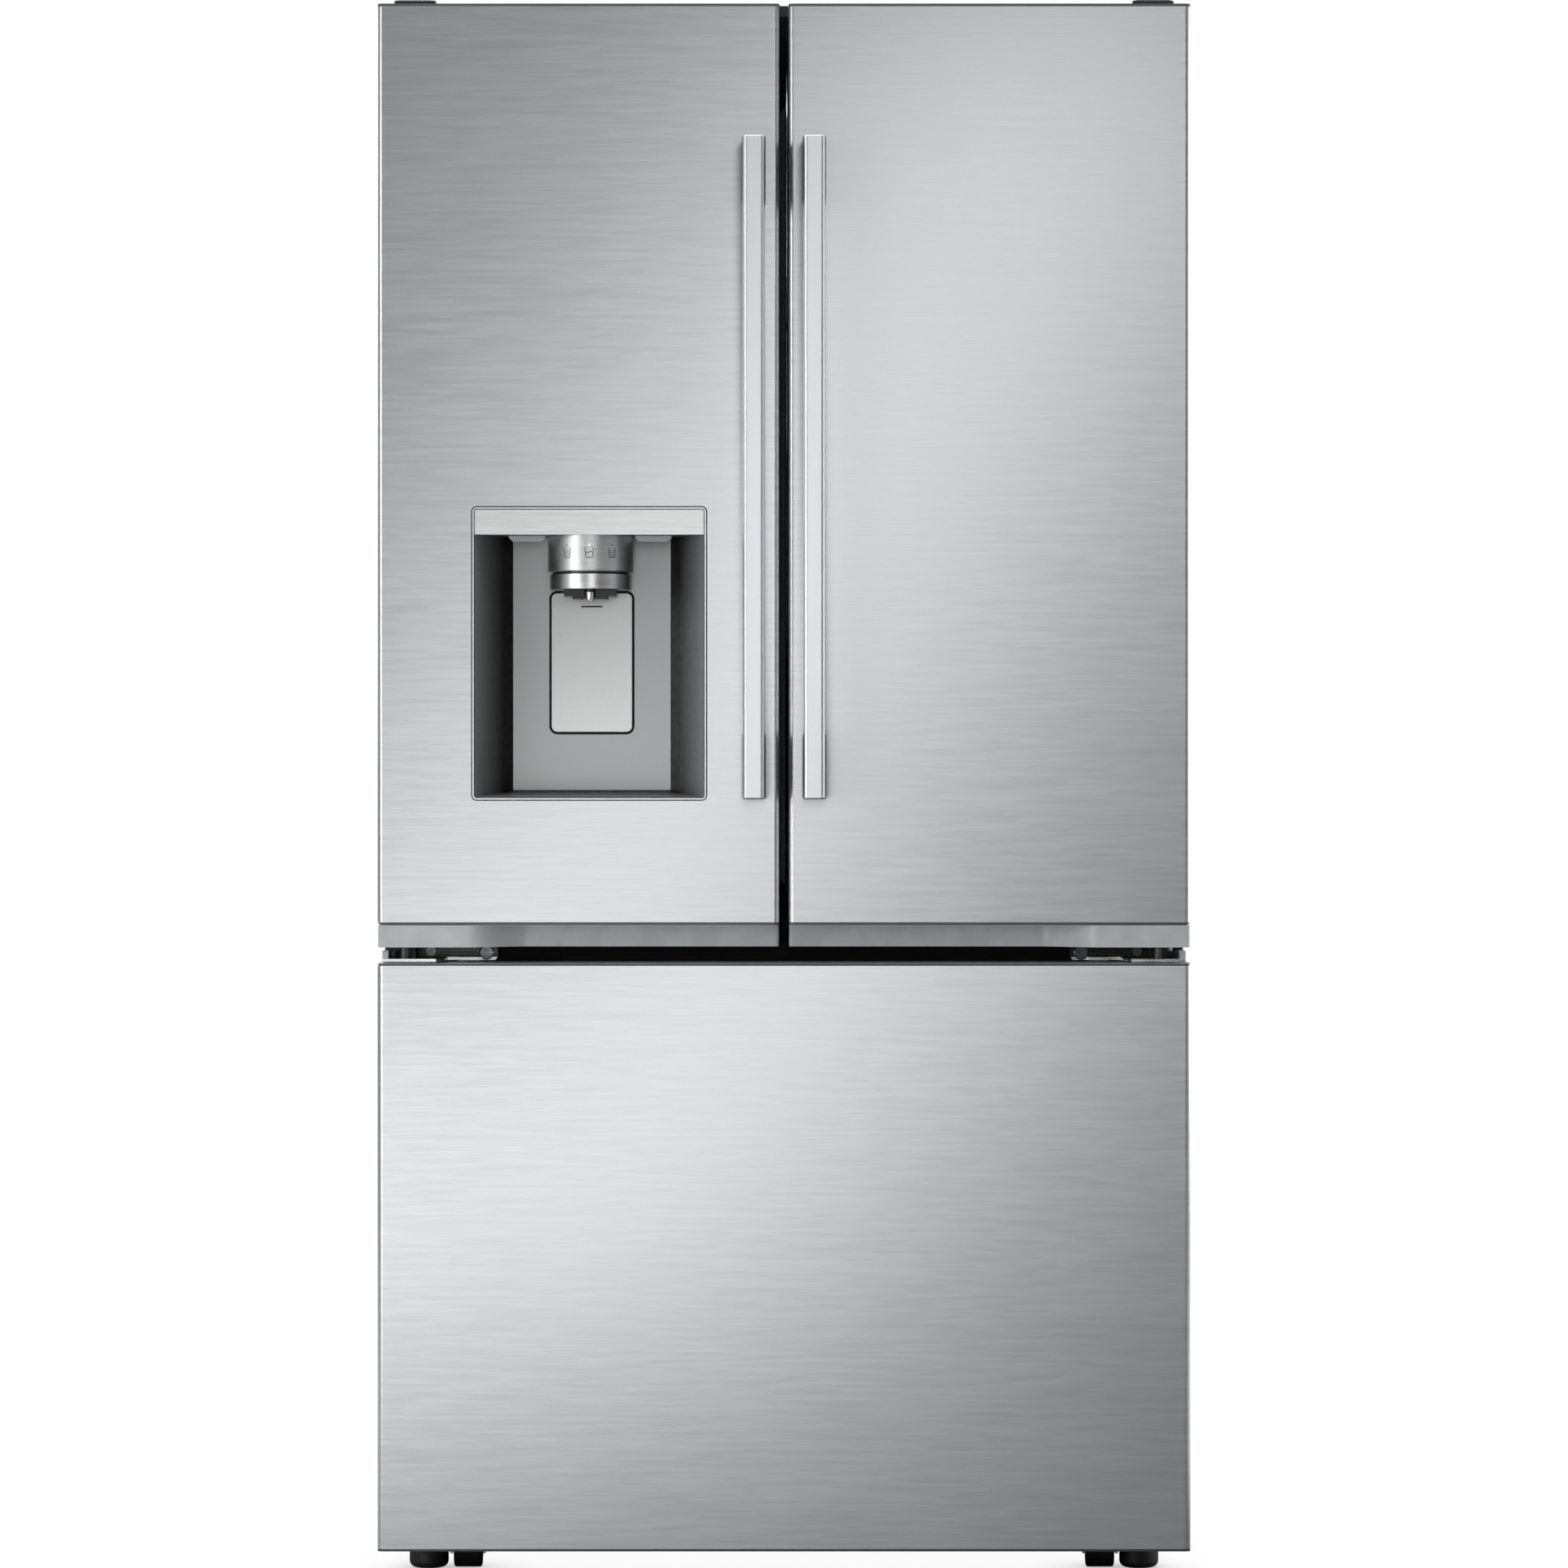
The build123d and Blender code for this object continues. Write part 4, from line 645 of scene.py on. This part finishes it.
# ---------------------------------------------------------------- gaskets
# (inset from the outer edge, distance from the door) of a magnetic gasket, in millimetres
GASKET_PROFILE = (
    (0.2, 0.1), (0.2, 1.3), (2.4, 2.4), (1.0, 4.6), (2.8, 6.4), (1.1, 7.6), (1.1, 10.4), (2.2, 11.5),
    (7.0, 11.6), (7.6, 11.0), (8.2, 11.6), (13.8, 11.5), (14.9, 10.4), (14.9, 7.6), (13.2, 6.4),
    (15.0, 4.6), (13.6, 2.4), (15.8, 1.3), (15.8, 0.1),
)


def gasket(name, body, node, x, z, wide):
    """Bellows and magnet bulb, swept round the seal's rectangle."""
    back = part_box("right_door_gasket")[0].y
    profile = [(inset / 16 * wide, back + depth * MM) for inset, depth in GASKET_PROFILE]
    made = piece(name, body, GASKET_GREY,
                 lambda bm: add_ring_sweep(bm, upright_rectangle(x, z), profile), smooth=50)
    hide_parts(node)


def gaskets():
    """Seals of both doors and the drawer, the strip in the slit between the doors, and two black sheets in
    that slit which are painted shade.
    """
    low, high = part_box("right_door_gasket")
    z = (low.z, high.z)
    gasket("right_gasket_bellows", "right_door", "right_door_gasket", (low.x, high.x), z, 16 * MM)
    gasket("left_gasket_bellows", "left_door", "left_door_gasket", (-high.x, -low.x), z, 16 * MM)
    low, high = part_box("drawer_gasket")
    z = (low.z, high.z)
    gasket("drawer_gasket_bellows", "freezer_drawer", "drawer_gasket", (low.x, high.x), z, 13 * MM)

    z = (0.783, 1.656)

    def strip(bm):
        web = (z[0] + 4 * MM, z[1] - 4 * MM)
        add_block(bm, (-5 * MM, -1.6 * MM), (HINGE_Y - 1 * MM, HINGE_Y + 1 * MM), web)
        outline = [(-2.1, z[0] + 3 * MM), (1.4, z[0]), (1.4, z[1]), (-2.1, z[1] - 3 * MM)]
        near = [(x * MM, HINGE_Y - 5 * MM, height) for x, height in outline]
        far = [(x * MM, HINGE_Y + 5 * MM, height) for x, height in outline]
        add_prism(bm, near, far)
    piece("slit_strip", "left_door", SOFT_BLACK, strip, bevel=0.4)

    # painted shade: black sheets that keep the slit between the doors dark
    shade_sheet_y = (DOOR_FACE + 84 * MM, DOOR_FACE + 87 * MM)
    shade_sheet_z = (0.722, 1.764)
    piece("left_slit_shade_sheet", "left_door", GAP_BLACK,
          lambda bm: add_block(bm, (-5.2 * MM, 3.0 * MM), shade_sheet_y, shade_sheet_z), bevel=0.5)
    piece("right_slit_shade_sheet", "right_door", GAP_BLACK,
          lambda bm: add_block(bm, (3.4 * MM, 5.2 * MM), shade_sheet_y, shade_sheet_z), bevel=0.5)


# ---------------------------------------------------------------- dispenser
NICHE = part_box("dispenser_recess")
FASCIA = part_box("dispenser_fascia")
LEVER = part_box("dispenser_lever")
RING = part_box("dispenser_control_ring")
NICHE_X = (RING[0].x + RING[1].x) / 2
RING_R = (RING[1].x - RING[0].x) / 2
RING_AXIS_Y = RING[0].y + RING_R
NICHE_BACK = DOOR_FACE + 90 * MM
PLATE_HALF = 45.9 * MM  # half width of the lever plate


def rounded_rectangle(x, z, radius, steps=8):
    """Outline points in X and Z, counter-clockwise from the lower right."""
    points = []
    corners = ((x[1] - radius, z[0] + radius, -90), (x[1] - radius, z[1] - radius, 0),
               (x[0] + radius, z[1] - radius, 90), (x[0] + radius, z[0] + radius, 180))
    for cx, cz, start in corners:
        for step in range(steps + 1):
            angle = math.radians(start + 90 * step / steps)
            points.append((cx + radius * math.cos(angle), cz + radius * math.sin(angle)))
    return points


def add_frame(bm, outer, inner, y):
    """A flat frame between two outlines with the same number of points, from y[0] to y[1]."""
    rings = []
    for depth in y:
        rings.append([bm.verts.new((px, depth, pz)) for px, pz in outer])
        rings.append([bm.verts.new((px, depth, pz)) for px, pz in inner])
    count = len(outer)
    for a, b in ((0, 1), (2, 3), (0, 2), (1, 3)):
        for index in range(count):
            after = (index + 1) % count
            bm.faces.new((rings[a][index], rings[a][after], rings[b][after], rings[b][index]))


def grown_outline(x, z, radius, grow):
    """Rounded rectangle that is larger by so much on every side."""
    return rounded_rectangle((x[0] - grow, x[1] + grow), (z[0] - grow, z[1] + grow), radius + grow)


def dark_outlines():
    """Thin black joints round the bezel, inside it and round the lever, and a black strip on the lever
    that is the painted shade of its slot.
    """
    bezel_x = (FASCIA[0].x, FASCIA[1].x)
    bezel_z = (FASCIA[0].z, FASCIA[1].z)
    lever_x = (NICHE_X - PLATE_HALF, NICHE_X + PLATE_HALF)
    lever_z = (LEVER[0].z, LEVER[1].z)

    def bezel_joints(bm):
        outer = grown_outline(bezel_x, bezel_z, 5 * MM, 1.3 * MM)
        inner = grown_outline(bezel_x, bezel_z, 5 * MM, -0.05 * MM)
        add_frame(bm, outer, inner, (DOOR_FACE - 0.12 * MM, DOOR_FACE + 0.5 * MM))
        front = FASCIA[0].y
        outer = grown_outline(bezel_x, bezel_z, 5 * MM, -1.7 * MM)
        inner = grown_outline(bezel_x, bezel_z, 5 * MM, -2.5 * MM)
        add_frame(bm, outer, inner, (front - 0.05 * MM, front + 0.5 * MM))

    def lever_joint(bm):
        outer = grown_outline(lever_x, lever_z, 7 * MM, 2.3 * MM)
        inner = grown_outline(lever_x, lever_z, 7 * MM, 0.3 * MM)
        add_frame(bm, outer, inner, (NICHE_BACK - 0.7 * MM, NICHE_BACK - 0.1 * MM))

    # painted shade: the lever's slot is a black strip laid on its face, not cut into it
    def lever_slot_shade(bm):
        front = LEVER[0].y
        x = (NICHE_X - 12 * MM, NICHE_X + 12 * MM)
        add_block(bm, x, (front - 0.06 * MM, front + 0.7 * MM), (1.0954, 1.0970))

    piece("lever_slot_shade", "dispenser_lever", GAP_BLACK, lever_slot_shade)
    piece("bezel_joints", "left_door", GAP_BLACK, bezel_joints)
    piece("lever_joint", "left_door", GAP_BLACK, lever_joint)


def niche_back_panel():
    """Satin panel that lines the back of the niche, cut out round the lever."""
    half = 89.3 * MM
    z = (NICHE[0].z + 10.2 * MM, RING[1].z)
    window = rounded_rectangle(
        (NICHE_X - PLATE_HALF - 1.6 * MM, NICHE_X + PLATE_HALF + 1.6 * MM),
        (LEVER[0].z - 1.5 * MM, LEVER[1].z + 1.5 * MM), 8 * MM)
    outer = rounded_rectangle((NICHE_X - half, NICHE_X + half), z, 1 * MM)

    def fill(bm):
        add_frame(bm, outer, window, (NICHE_BACK - 0.5 * MM, NICHE_BACK - 0.02 * MM))

    piece("niche_back_panel", "left_door", NICHE_PANEL, fill, bevel=0.2)


def on_ring(u, z, lift):
    """A point on the control ring, u metres round its face from the front."""
    angle = u / RING_R
    radius = RING_R + lift
    return NICHE_X + radius * math.sin(angle), RING_AXIS_Y - radius * math.cos(angle), z


def add_stroke(bm, points, width=0.8 * MM, lift=0.1 * MM):
    """A printed line on the ring, as a thin raised strip through (u, z) points."""
    for (u0, z0), (u1, z1) in zip(points, points[1:]):
        along = Vector((u1 - u0, z1 - z0)).normalized() * width / 2
        across = Vector((-along.y, along.x))
        start = Vector((u0, z0)) - along
        end = Vector((u1, z1)) + along
        flat = [start - across, end - across, end + across, start + across]
        add_prism(bm, [on_ring(p.x, p.y, -lift) for p in flat], [on_ring(p.x, p.y, lift) for p in flat])


def add_dot(bm, u, z, radius):
    steps = 14
    centre = Vector(on_ring(u, z, 0))
    out = (centre - Vector((NICHE_X, RING_AXIS_Y, z))).normalized()
    add_lathe(bm, centre - out * 0.05 * MM, out, [(radius, 0), (radius, 0.12 * MM), (0, 0.14 * MM)], steps)


def cup_outline(u, z, width, height):
    foot = 0.4 * width
    floor_points = [(u + foot * step / 3, z) for step in range(-3, 4)]
    return [(u - width / 2, z + height), *floor_points, (u + width / 2, z + height)]


def ring_icons():
    """Three cups, for crushed ice, water and cubes, each under its lamp."""
    spacing = 26.5 * MM
    base = RING[0].z + 18.4 * MM
    height = 10.4 * MM
    lamp_z = base + height + 3.4 * MM

    def fill(bm):
        for step, width in ((-1, 8.4 * MM), (0, 9.6 * MM), (1, 8.4 * MM)):
            add_stroke(bm, cup_outline(step * spacing, base, width, height))
        wave = [(i * 0.9 * MM, base + 5.6 * MM + 0.7 * MM * math.sin(i * 0.9)) for i in range(-4, 5)]
        add_stroke(bm, wave)
        for shard in range(5):
            u = -spacing + (shard % 2 * 2 - 1) * 1.3 * MM
            z = base + (1.6 + shard * 1.5) * MM
            add_stroke(bm, [(u - 0.8 * MM, z), (u, z + 1.1 * MM), (u + 0.9 * MM, z + 0.2 * MM)], 0.5 * MM)
        for row in range(4):
            for column in range(-1, 2):
                add_dot(bm, spacing + column * 1.9 * MM, base + (1.4 + row * 1.9) * MM, 0.55 * MM)
        for side in (-1, 1):
            add_dot(bm, side * spacing, lamp_z, 0.85 * MM)

    piece("ring_icons", "left_door", INK, fill)
    piece("ring_lamp", "left_door", LED_WHITE, lambda bm: add_dot(bm, 0, lamp_z, 1.0 * MM))


def water_spout():
    """Bright tube in the middle of the outlet."""
    spout_y = RING_AXIS_Y - 24 * MM
    start = RING[0].z - 20 * MM
    tube = ((5.15, 0), (5.15, 8.2), (4.7, 9.15), (3.7, 9.15), (3.3, 6), (0, 6))
    profile = [(radius * MM, along * MM) for radius, along in tube]
    piece("water_spout", "left_door", CHROME,
          lambda bm: add_lathe(bm, (NICHE_X, spout_y, start), (0, 0, -1), profile, 32))


# ---------------------------------------------------------------- interior
# (x, y, top) of the open bins
BIN_X = (84.5 * MM, 371.5 * MM)
BIN_Y = (-304.8 * MM, -205 * MM)
RIGHT_BINS = [(BIN_X, BIN_Y, top) for top in (0.890, 1.110, 1.330, 1.550)]
LEFT_X = (-BIN_X[1], -BIN_X[0])
SHALLOW_Y = (-257.8 * MM, BIN_Y[1])
LEFT_BINS = [(LEFT_X, BIN_Y, 0.8495), (LEFT_X, SHALLOW_Y, 1.080)]
FREEZER_BIN = [((-0.368, 0.368), (-0.276, 0.148), 0.368)]


def bin_rims(name, body, boxes, guard):
    """White rim round the top of each bin, and a band on the side that faces the room."""
    def fill(bm):
        for x, y, top in boxes:
            profile = [(-0.3 * MM, top - 7 * MM), (-0.3 * MM, top + 0.7 * MM), (3.8 * MM, top + 0.7 * MM),
                       (3.8 * MM, top - 7 * MM)]
            add_ring_sweep(bm, level_rectangle(x, y), profile)
            if guard:
                reach = (x[0] + 8 * MM, x[1] - 8 * MM)
                add_block(bm, reach, (y[1] - 0.4 * MM, y[1] + 1.2 * MM), (top - 34 * MM, top - 10 * MM))
    piece(name, body, TRIM_WHITE, fill, bevel=0.6)


def drawer_pulls():
    """White bars over the pull lips of the crispers and the pantry drawer."""
    front = -0.160

    def fill(bm):
        for x, top in (((-0.391, -0.005), 1.042), ((0.005, 0.391), 1.042), ((-0.391, 0.391), 0.838)):
            reach = (x[0] + 26 * MM, x[1] - 26 * MM)
            add_block(bm, reach, (front - 8 * MM, front - 0.1 * MM), (top - 23.5 * MM, top - 12.5 * MM))
            add_block(bm, reach, (front - 8 * MM, front - 5 * MM), (top - 30 * MM, top - 20 * MM))
    piece("drawer_pulls", "cabinet", TRIM_WHITE, fill, bevel=1.2)


def ice_compartment_door():
    """Raised lid of the ice compartment, its latch, and dark strips on the lid that are the painted shade
    of its air slots.
    """
    low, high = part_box("ice_maker_housing")
    back = high.y

    def lid(bm):
        inset = 13 * MM
        x = (low.x + inset, high.x - inset)
        add_block(bm, x, (back - 1 * MM, back + 2.2 * MM), (low.z + inset, high.z - inset))

    def latch(bm):
        x = (high.x - 33.5 * MM, high.x - 18.5 * MM)
        add_block(bm, x, (back - 1 * MM, back + 6 * MM), (1.425, 1.495))
        for step in range(5):
            z = 1.438 + step * 9 * MM
            add_block(bm, (x[0] + 2 * MM, x[1] - 2 * MM), (back + 5 * MM, back + 7 * MM), (z, z + 3 * MM))

    # painted shade: the air slots are dark strips laid on the lid, not cut into it
    def slots(bm):
        for step in range(9):
            x = low.x + (40 + step * 24) * MM
            z = (low.z + 30 * MM, low.z + 35 * MM)
            add_block(bm, (x, x + 16 * MM), (back + 1.9 * MM, back + 2.4 * MM), z)
    piece("ice_lid", "left_door", LINER_WHITE, lid, bevel=2.0)
    piece("ice_latch", "left_door", CAP_GREY, latch, bevel=1.0)
    piece("ice_air_slot_shade", "left_door", CAP_DARK, slots, bevel=0.2)


def basket_wires():
    """The upper freezer basket: plastic-coated wire on two side runners."""
    low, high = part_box("freezer_upper_basket")
    half = 376 * MM
    y = (low.y + 2 * MM, high.y - 2 * MM)
    z = (low.z + 3 * MM, high.z - 2.5 * MM)
    bend = 14 * MM
    loops = []
    for level in (z[1], z[1] - 45 * MM, z[0] + 45 * MM):
        square = [(-half, y[0], level), (half, y[0], level), (half, y[1], level), (-half, y[1], level)]
        loops.append(rounded_route(square, bend, closed=True))
    across = []
    count = 18
    for index in range(count + 1):
        at = y[0] + 16 * MM + (y[1] - y[0] - 32 * MM) * index / count
        path = [(-half, at, z[1]), (-half, at, z[0]), (half, at, z[0]), (half, at, z[1])]
        across.append(rounded_route(path, bend))
    along = []
    count = 22
    for index in range(count + 1):
        at = -half + 20 * MM + (2 * half - 40 * MM) * index / count
        path = [(at, y[0], z[1]), (at, y[0], z[0]), (at, y[1], z[0]), (at, y[1], z[1])]
        along.append(rounded_route(path, bend))
    frame_wires = wires("basket_frame", "upper_basket", TRIM_WHITE, loops, 2.0 * MM)
    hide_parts("freezer_upper_basket")
    wires("basket_mesh", "upper_basket", TRIM_WHITE, across + along, 1.2 * MM)

    def runners(bm):
        for side in (-1, 1):
            x = sorted((side * half, side * high.x))
            add_block(bm, x, (low.y + 12 * MM, high.y - 12 * MM), (low.z + 105.2 * MM, low.z + 108.8 * MM))
    piece("basket_runners", "upper_basket", TRIM_WHITE, runners, bevel=0.8)


# ---------------------------------------------------------------- hinges and the top of the case
def hinge_stops():
    """Grey door stops at the outer ends of the middle brackets, and bright washers round their bolts."""
    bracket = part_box("middle_hinge_brackets")

    def fill(bm):
        for side in (-1, 1):
            x = sorted((side * (bracket[1].x - 6.6 * MM), side * (bracket[1].x + 0.1 * MM)))
            y = (bracket[0].y - 0.1 * MM, HINGE_Y + 30.1 * MM)
            add_block(bm, x, y, (bracket[0].z + 3.4 * MM, bracket[0].z + 12.5 * MM))
    piece("hinge_stops", "cabinet", CAP_GREY, fill, bevel=0.4)

    def washers(bm):
        for side in (-1, 1):
            centre = (side * 0.337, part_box("cabinet_shell")[0].y - 4 * MM, 0.7046)
            edge = ((8.3, 0), (8.3, 1.0), (7.3, 1.6), (7.3, 0))
            add_lathe(bm, centre, (0, -1, 0), [(radius * MM, along * MM) for radius, along in edge], 36)
    piece("bolt_washers", "cabinet", CHROME, washers)


def top_rail():
    """Dark rail across the front of the case top, behind the doors, and its screws."""
    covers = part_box("top_hinge_covers")
    case_top = covers[1].z - 32 * MM
    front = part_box("cabinet_shell")[0].y
    half = 0.386

    def rail(bm):
        z = (case_top - 0.2 * MM, case_top + 26 * MM)
        add_block(bm, (-half, half), (front + 1 * MM, front + 40 * MM), z)
        for step in range(-3, 4):
            middle = step * 0.11
            pad = (middle - 0.04, middle + 0.04)
            add_block(bm, pad, (front + 6 * MM, front + 34 * MM), (z[1] - 0.5 * MM, z[1] + 1 * MM))

    def screws(bm):
        for step in (-2.5, -1.5, 1.5, 2.5):
            add_hex_screw(bm, (step * 0.11, front + 20 * MM, case_top + 25.8 * MM), (0, 0, 1), 4.5 * MM)
        for side in (-1, 1):
            add_hex_screw(bm, (side * 0.414, front + 62 * MM, covers[1].z - 4.2 * MM), (0, 0, 1), 4.5 * MM)
    piece("top_rail", "cabinet", COVER_BLACK, rail, bevel=1.2)
    piece("top_screws", "cabinet", ZINC, screws)


# ---------------------------------------------------------------- back and machine compartment
def back_screws():
    """Flush cross-head screws round the back sheet and the machine cover."""
    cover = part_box("machine_cover")
    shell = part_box("cabinet_shell")
    face = cover[1].y
    edge = 12 * MM
    places = []
    for step in range(7):
        x = cover[0].x + 2 * edge + (cover[1].x - cover[0].x - 4 * edge) * step / 6
        places += [(x, z) for z in (cover[0].z + edge, cover[1].z - edge, shell[1].z - edge)]
    for step in range(1, 6):
        z = cover[1].z + (shell[1].z - cover[1].z) * step / 6
        places += [(x, z) for x in (shell[0].x + edge, shell[1].x - edge)]

    def heads(bm):
        depth, radius = 2 * MM, 4.6 * MM
        top = depth + 0.03 * MM
        for x, z in places:
            add_lathe(bm, (x, face - depth, z), (0, 1, 0), [(radius, 0), (radius, top), (0, top)], 28)

    # painted shade: the cross recesses are black crosses laid on the screw heads, not cut into them
    def recesses(bm):
        long, short = 2.4 * MM, 0.45 * MM
        for x, z in places:
            for wide, high in ((long, short), (short, long)):
                y = (face - 1 * MM, face + 0.045 * MM)
                add_block(bm, (x - wide, x + wide), y, (z - high, z + high))
    piece("back_screws", "cabinet", ZINC, heads)
    piece("back_screw_recess_shade", "cabinet", GAP_BLACK, recesses)


def refrigerant_pipes():
    """Copper pipes between the compressor and the coil."""
    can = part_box("compressor")
    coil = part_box("condenser_coil")
    top = can[1].z - 30 * MM
    can_x = (can[0].x + can[1].x) / 2
    paths = []
    for index, y in enumerate((0.315, 0.352)):
        reach = can_x + (62 - 6 * index) * MM
        rise = can[1].z + (22 + 20 * index) * MM
        end = (coil[0].x + 6 * MM, 0.30 + 0.07 * index, coil[1].z - (22 + 24 * index) * MM)
        drop = end[0] - 36 * MM
        corners = [(reach - 20 * MM, y, top), (reach, y, top), (reach, y, rise), (drop, y, rise),
                   (drop, end[1], end[2]), end]
        paths.append(rounded_route(corners, 9 * MM))
    wires("refrigerant_pipes", "cabinet", COPPER, paths, 3.2 * MM)


# ---------------------------------------------------------------- stage
def floor_material():
    """White to the camera, with a soft contact shadow.

    What the steel reflects is a grey that darkens to the right in front of the doors, and pale beyond; the
    darkening is painted shade for the steel's reflection.
    """
    finish = Finish("floor_white", (0.42, 0.42, 0.42), 0.9)
    across = finish.axis("X")
    # painted shade: the grey that the steel reflects darkens to the right
    near = finish.mix_color(finish.remap(across, 0, 1, -0.7, 0.7), (0.58, 0.58, 0.58), (0.10, 0.10, 0.10))
    far_right = finish.remap(across, 0, 1, 1.0, 1.6)
    far_left = finish.remap(across, 1, 0, -1.8, -1.2)
    wide = finish.mix_color(far_right, near, (0.85, 0.85, 0.85))
    finish.feed(finish.mix_color(far_left, wide, (0.85, 0.85, 0.85)), "Base Color")
    nodes, links = finish.nodes, finish.links
    hollow = nodes.new("ShaderNodeAmbientOcclusion")
    hollow.inputs["Distance"].default_value = 0.07
    shadow = finish.remap(hollow.outputs["AO"], 0.55, 1.0, 0.2, 0.95)
    glow = nodes.new("ShaderNodeEmission")
    links.new(shadow, glow.inputs["Strength"])
    ray = nodes.new("ShaderNodeLightPath")
    mix = nodes.new("ShaderNodeMixShader")
    links.new(ray.outputs["Is Camera Ray"], mix.inputs["Fac"])
    links.new(finish.shader.outputs["BSDF"], mix.inputs[1])
    links.new(glow.outputs["Emission"], mix.inputs[2])
    links.new(mix.outputs["Shader"], nodes["Material Output"].inputs["Surface"])
    return finish.material


def floor():
    mesh = bpy.data.meshes.new("floor")
    bm = bmesh.new()
    bmesh.ops.create_circle(bm, cap_ends=True, segments=96, radius=14.0)
    bm.to_mesh(mesh)
    bm.free()
    mesh.materials.append(floor_material())
    made = bpy.data.objects.new("floor", mesh)
    made.location.z = CAD_BOX[0].z - 0.05 * MM
    bpy.context.scene.collection.objects.link(made)


def world():
    """White to the camera. What lights and reflects is soft grey, paler at the sides and above."""
    made = bpy.data.worlds.new("studio")
    bpy.context.scene.world = made
    made.use_nodes = True
    nodes, links = made.node_tree.nodes, made.node_tree.links
    nodes.clear()
    direction = nodes.new("ShaderNodeTexCoord")
    split = nodes.new("ShaderNodeSeparateXYZ")
    links.new(direction.outputs["Generated"], split.inputs["Vector"])

    def slope(value, start, end, low, high):
        node = nodes.new("ShaderNodeMapRange")
        node.interpolation_type = "SMOOTHSTEP"
        links.new(value, node.inputs["Value"])
        for socket, number in (("From Min", start), ("From Max", end), ("To Min", low), ("To Max", high)):
            node.inputs[socket].default_value = number
        return node.outputs["Result"]

    def calculate(operation, first, second=None):
        node = nodes.new("ShaderNodeMath")
        node.operation = operation
        links.new(first, node.inputs[0])
        if second:
            links.new(second, node.inputs[1])
        return node.outputs["Value"]

    depth = slope(split.outputs["Y"], 0.1, 0.75, 0.11, 0.02)
    above = slope(split.outputs["Z"], 0.2, 1.0, 0.0, 0.25)
    sides = slope(calculate("ABSOLUTE", split.outputs["X"]), 0.45, 0.8, 0.0, 0.32)
    ambient = nodes.new("ShaderNodeBackground")
    links.new(calculate("ADD", calculate("ADD", depth, above), sides), ambient.inputs["Strength"])
    white = nodes.new("ShaderNodeBackground")
    white.inputs["Color"].default_value = (1, 1, 1, 1)
    ray = nodes.new("ShaderNodeLightPath")
    mix = nodes.new("ShaderNodeMixShader")
    links.new(ray.outputs["Is Camera Ray"], mix.inputs["Fac"])
    links.new(ambient.outputs["Background"], mix.inputs[1])
    links.new(white.outputs["Background"], mix.inputs[2])
    output = nodes.new("ShaderNodeOutputWorld")
    links.new(mix.outputs["Shader"], output.inputs["Surface"])


def softbox(name, place, aim, size, power, roll=0.0):
    """A soft rectangular light at place, facing aim, unseen by the camera."""
    data = bpy.data.lights.new(name, "AREA")
    data.shape = "RECTANGLE"
    data.size, data.size_y = size
    data.energy = power
    made = bpy.data.objects.new(name, data)
    made.location = place
    facing = Vector(aim) - Vector(place)
    made.rotation_euler = facing.to_track_quat("-Z", "Z").to_euler()
    made.rotation_euler.rotate_axis("Z", math.radians(roll))
    made.visible_camera = False
    bpy.context.scene.collection.objects.link(made)


def lights():
    """Soft studio lights, and two lamps inside that show when the doors or the drawer are open."""
    softbox("band_light", (-0.18, -3.4, 0.90), (-0.18, 0, 0.90), (0.5, 3.2), 13.6, roll=-28)
    softbox("high_light", (-1.1, -3.2, 2.3), (-0.3, 0, 1.3), (1.4, 1.2), 0.9)
    softbox("left_light", (-2.2, -2.8, 0.9), (-0.4, 0, 0.9), (0.8, 3.2), 38)
    softbox("right_light", (3.0, 0.6, 1.2), (0, 0.1, 0.9), (1.6, 3.0), 50)
    softbox("top_light", (0, -0.4, 3.6), (0, 0, 0), (3.0, 3.0), 55)
    softbox("fridge_lamp", (0, 0.0, 1.69), (0, -0.06, 0.8), (0.5, 0.3), 4)
    softbox("freezer_lamp", (0, -0.05, 0.655), (0, -0.15, 0.2), (0.5, 0.25), 2)
    softbox("rear_light", (-1.5, 3.6, 2.2), (0, 0, 0.9), (2.6, 2.0), 60)
    softbox("rear_right_light", (2.6, 3.0, 1.6), (0, 0, 0.9), (1.6, 2.0), 40)


def camera():
    """Level camera in front of the doors, at the height of the handles' lower ends."""
    sensor, seen_width, distance = 36.0, 1.7508, 6.3
    data = bpy.data.cameras.new("camera")
    data.sensor_width = sensor
    data.lens = sensor * distance / seen_width
    made = bpy.data.objects.new("camera", data)
    made.location = (0, DOOR_FACE - distance, 0.8955)
    made.rotation_euler = (math.radians(90), 0, 0)
    bpy.context.scene.collection.objects.link(made)
    bpy.context.scene.camera = made


def color_management():
    view = bpy.context.scene.view_settings
    view.view_transform = "Standard"
    view.look = "None"


# ---------------------------------------------------------------- build
camera()
color_management()
world()
lights()
floor()
dress_cad_nodes()

gaskets()
niche_back_panel()
dark_outlines()
ring_icons()
water_spout()
basket_wires()
bin_rims("right_bin_rims", "right_door", RIGHT_BINS, True)
bin_rims("left_bin_rims", "left_door", LEFT_BINS, True)
bin_rims("freezer_bin_rim", "freezer_drawer", FREEZER_BIN, False)
drawer_pulls()
ice_compartment_door()
hinge_stops()
top_rail()
back_screws()
refrigerant_pipes()
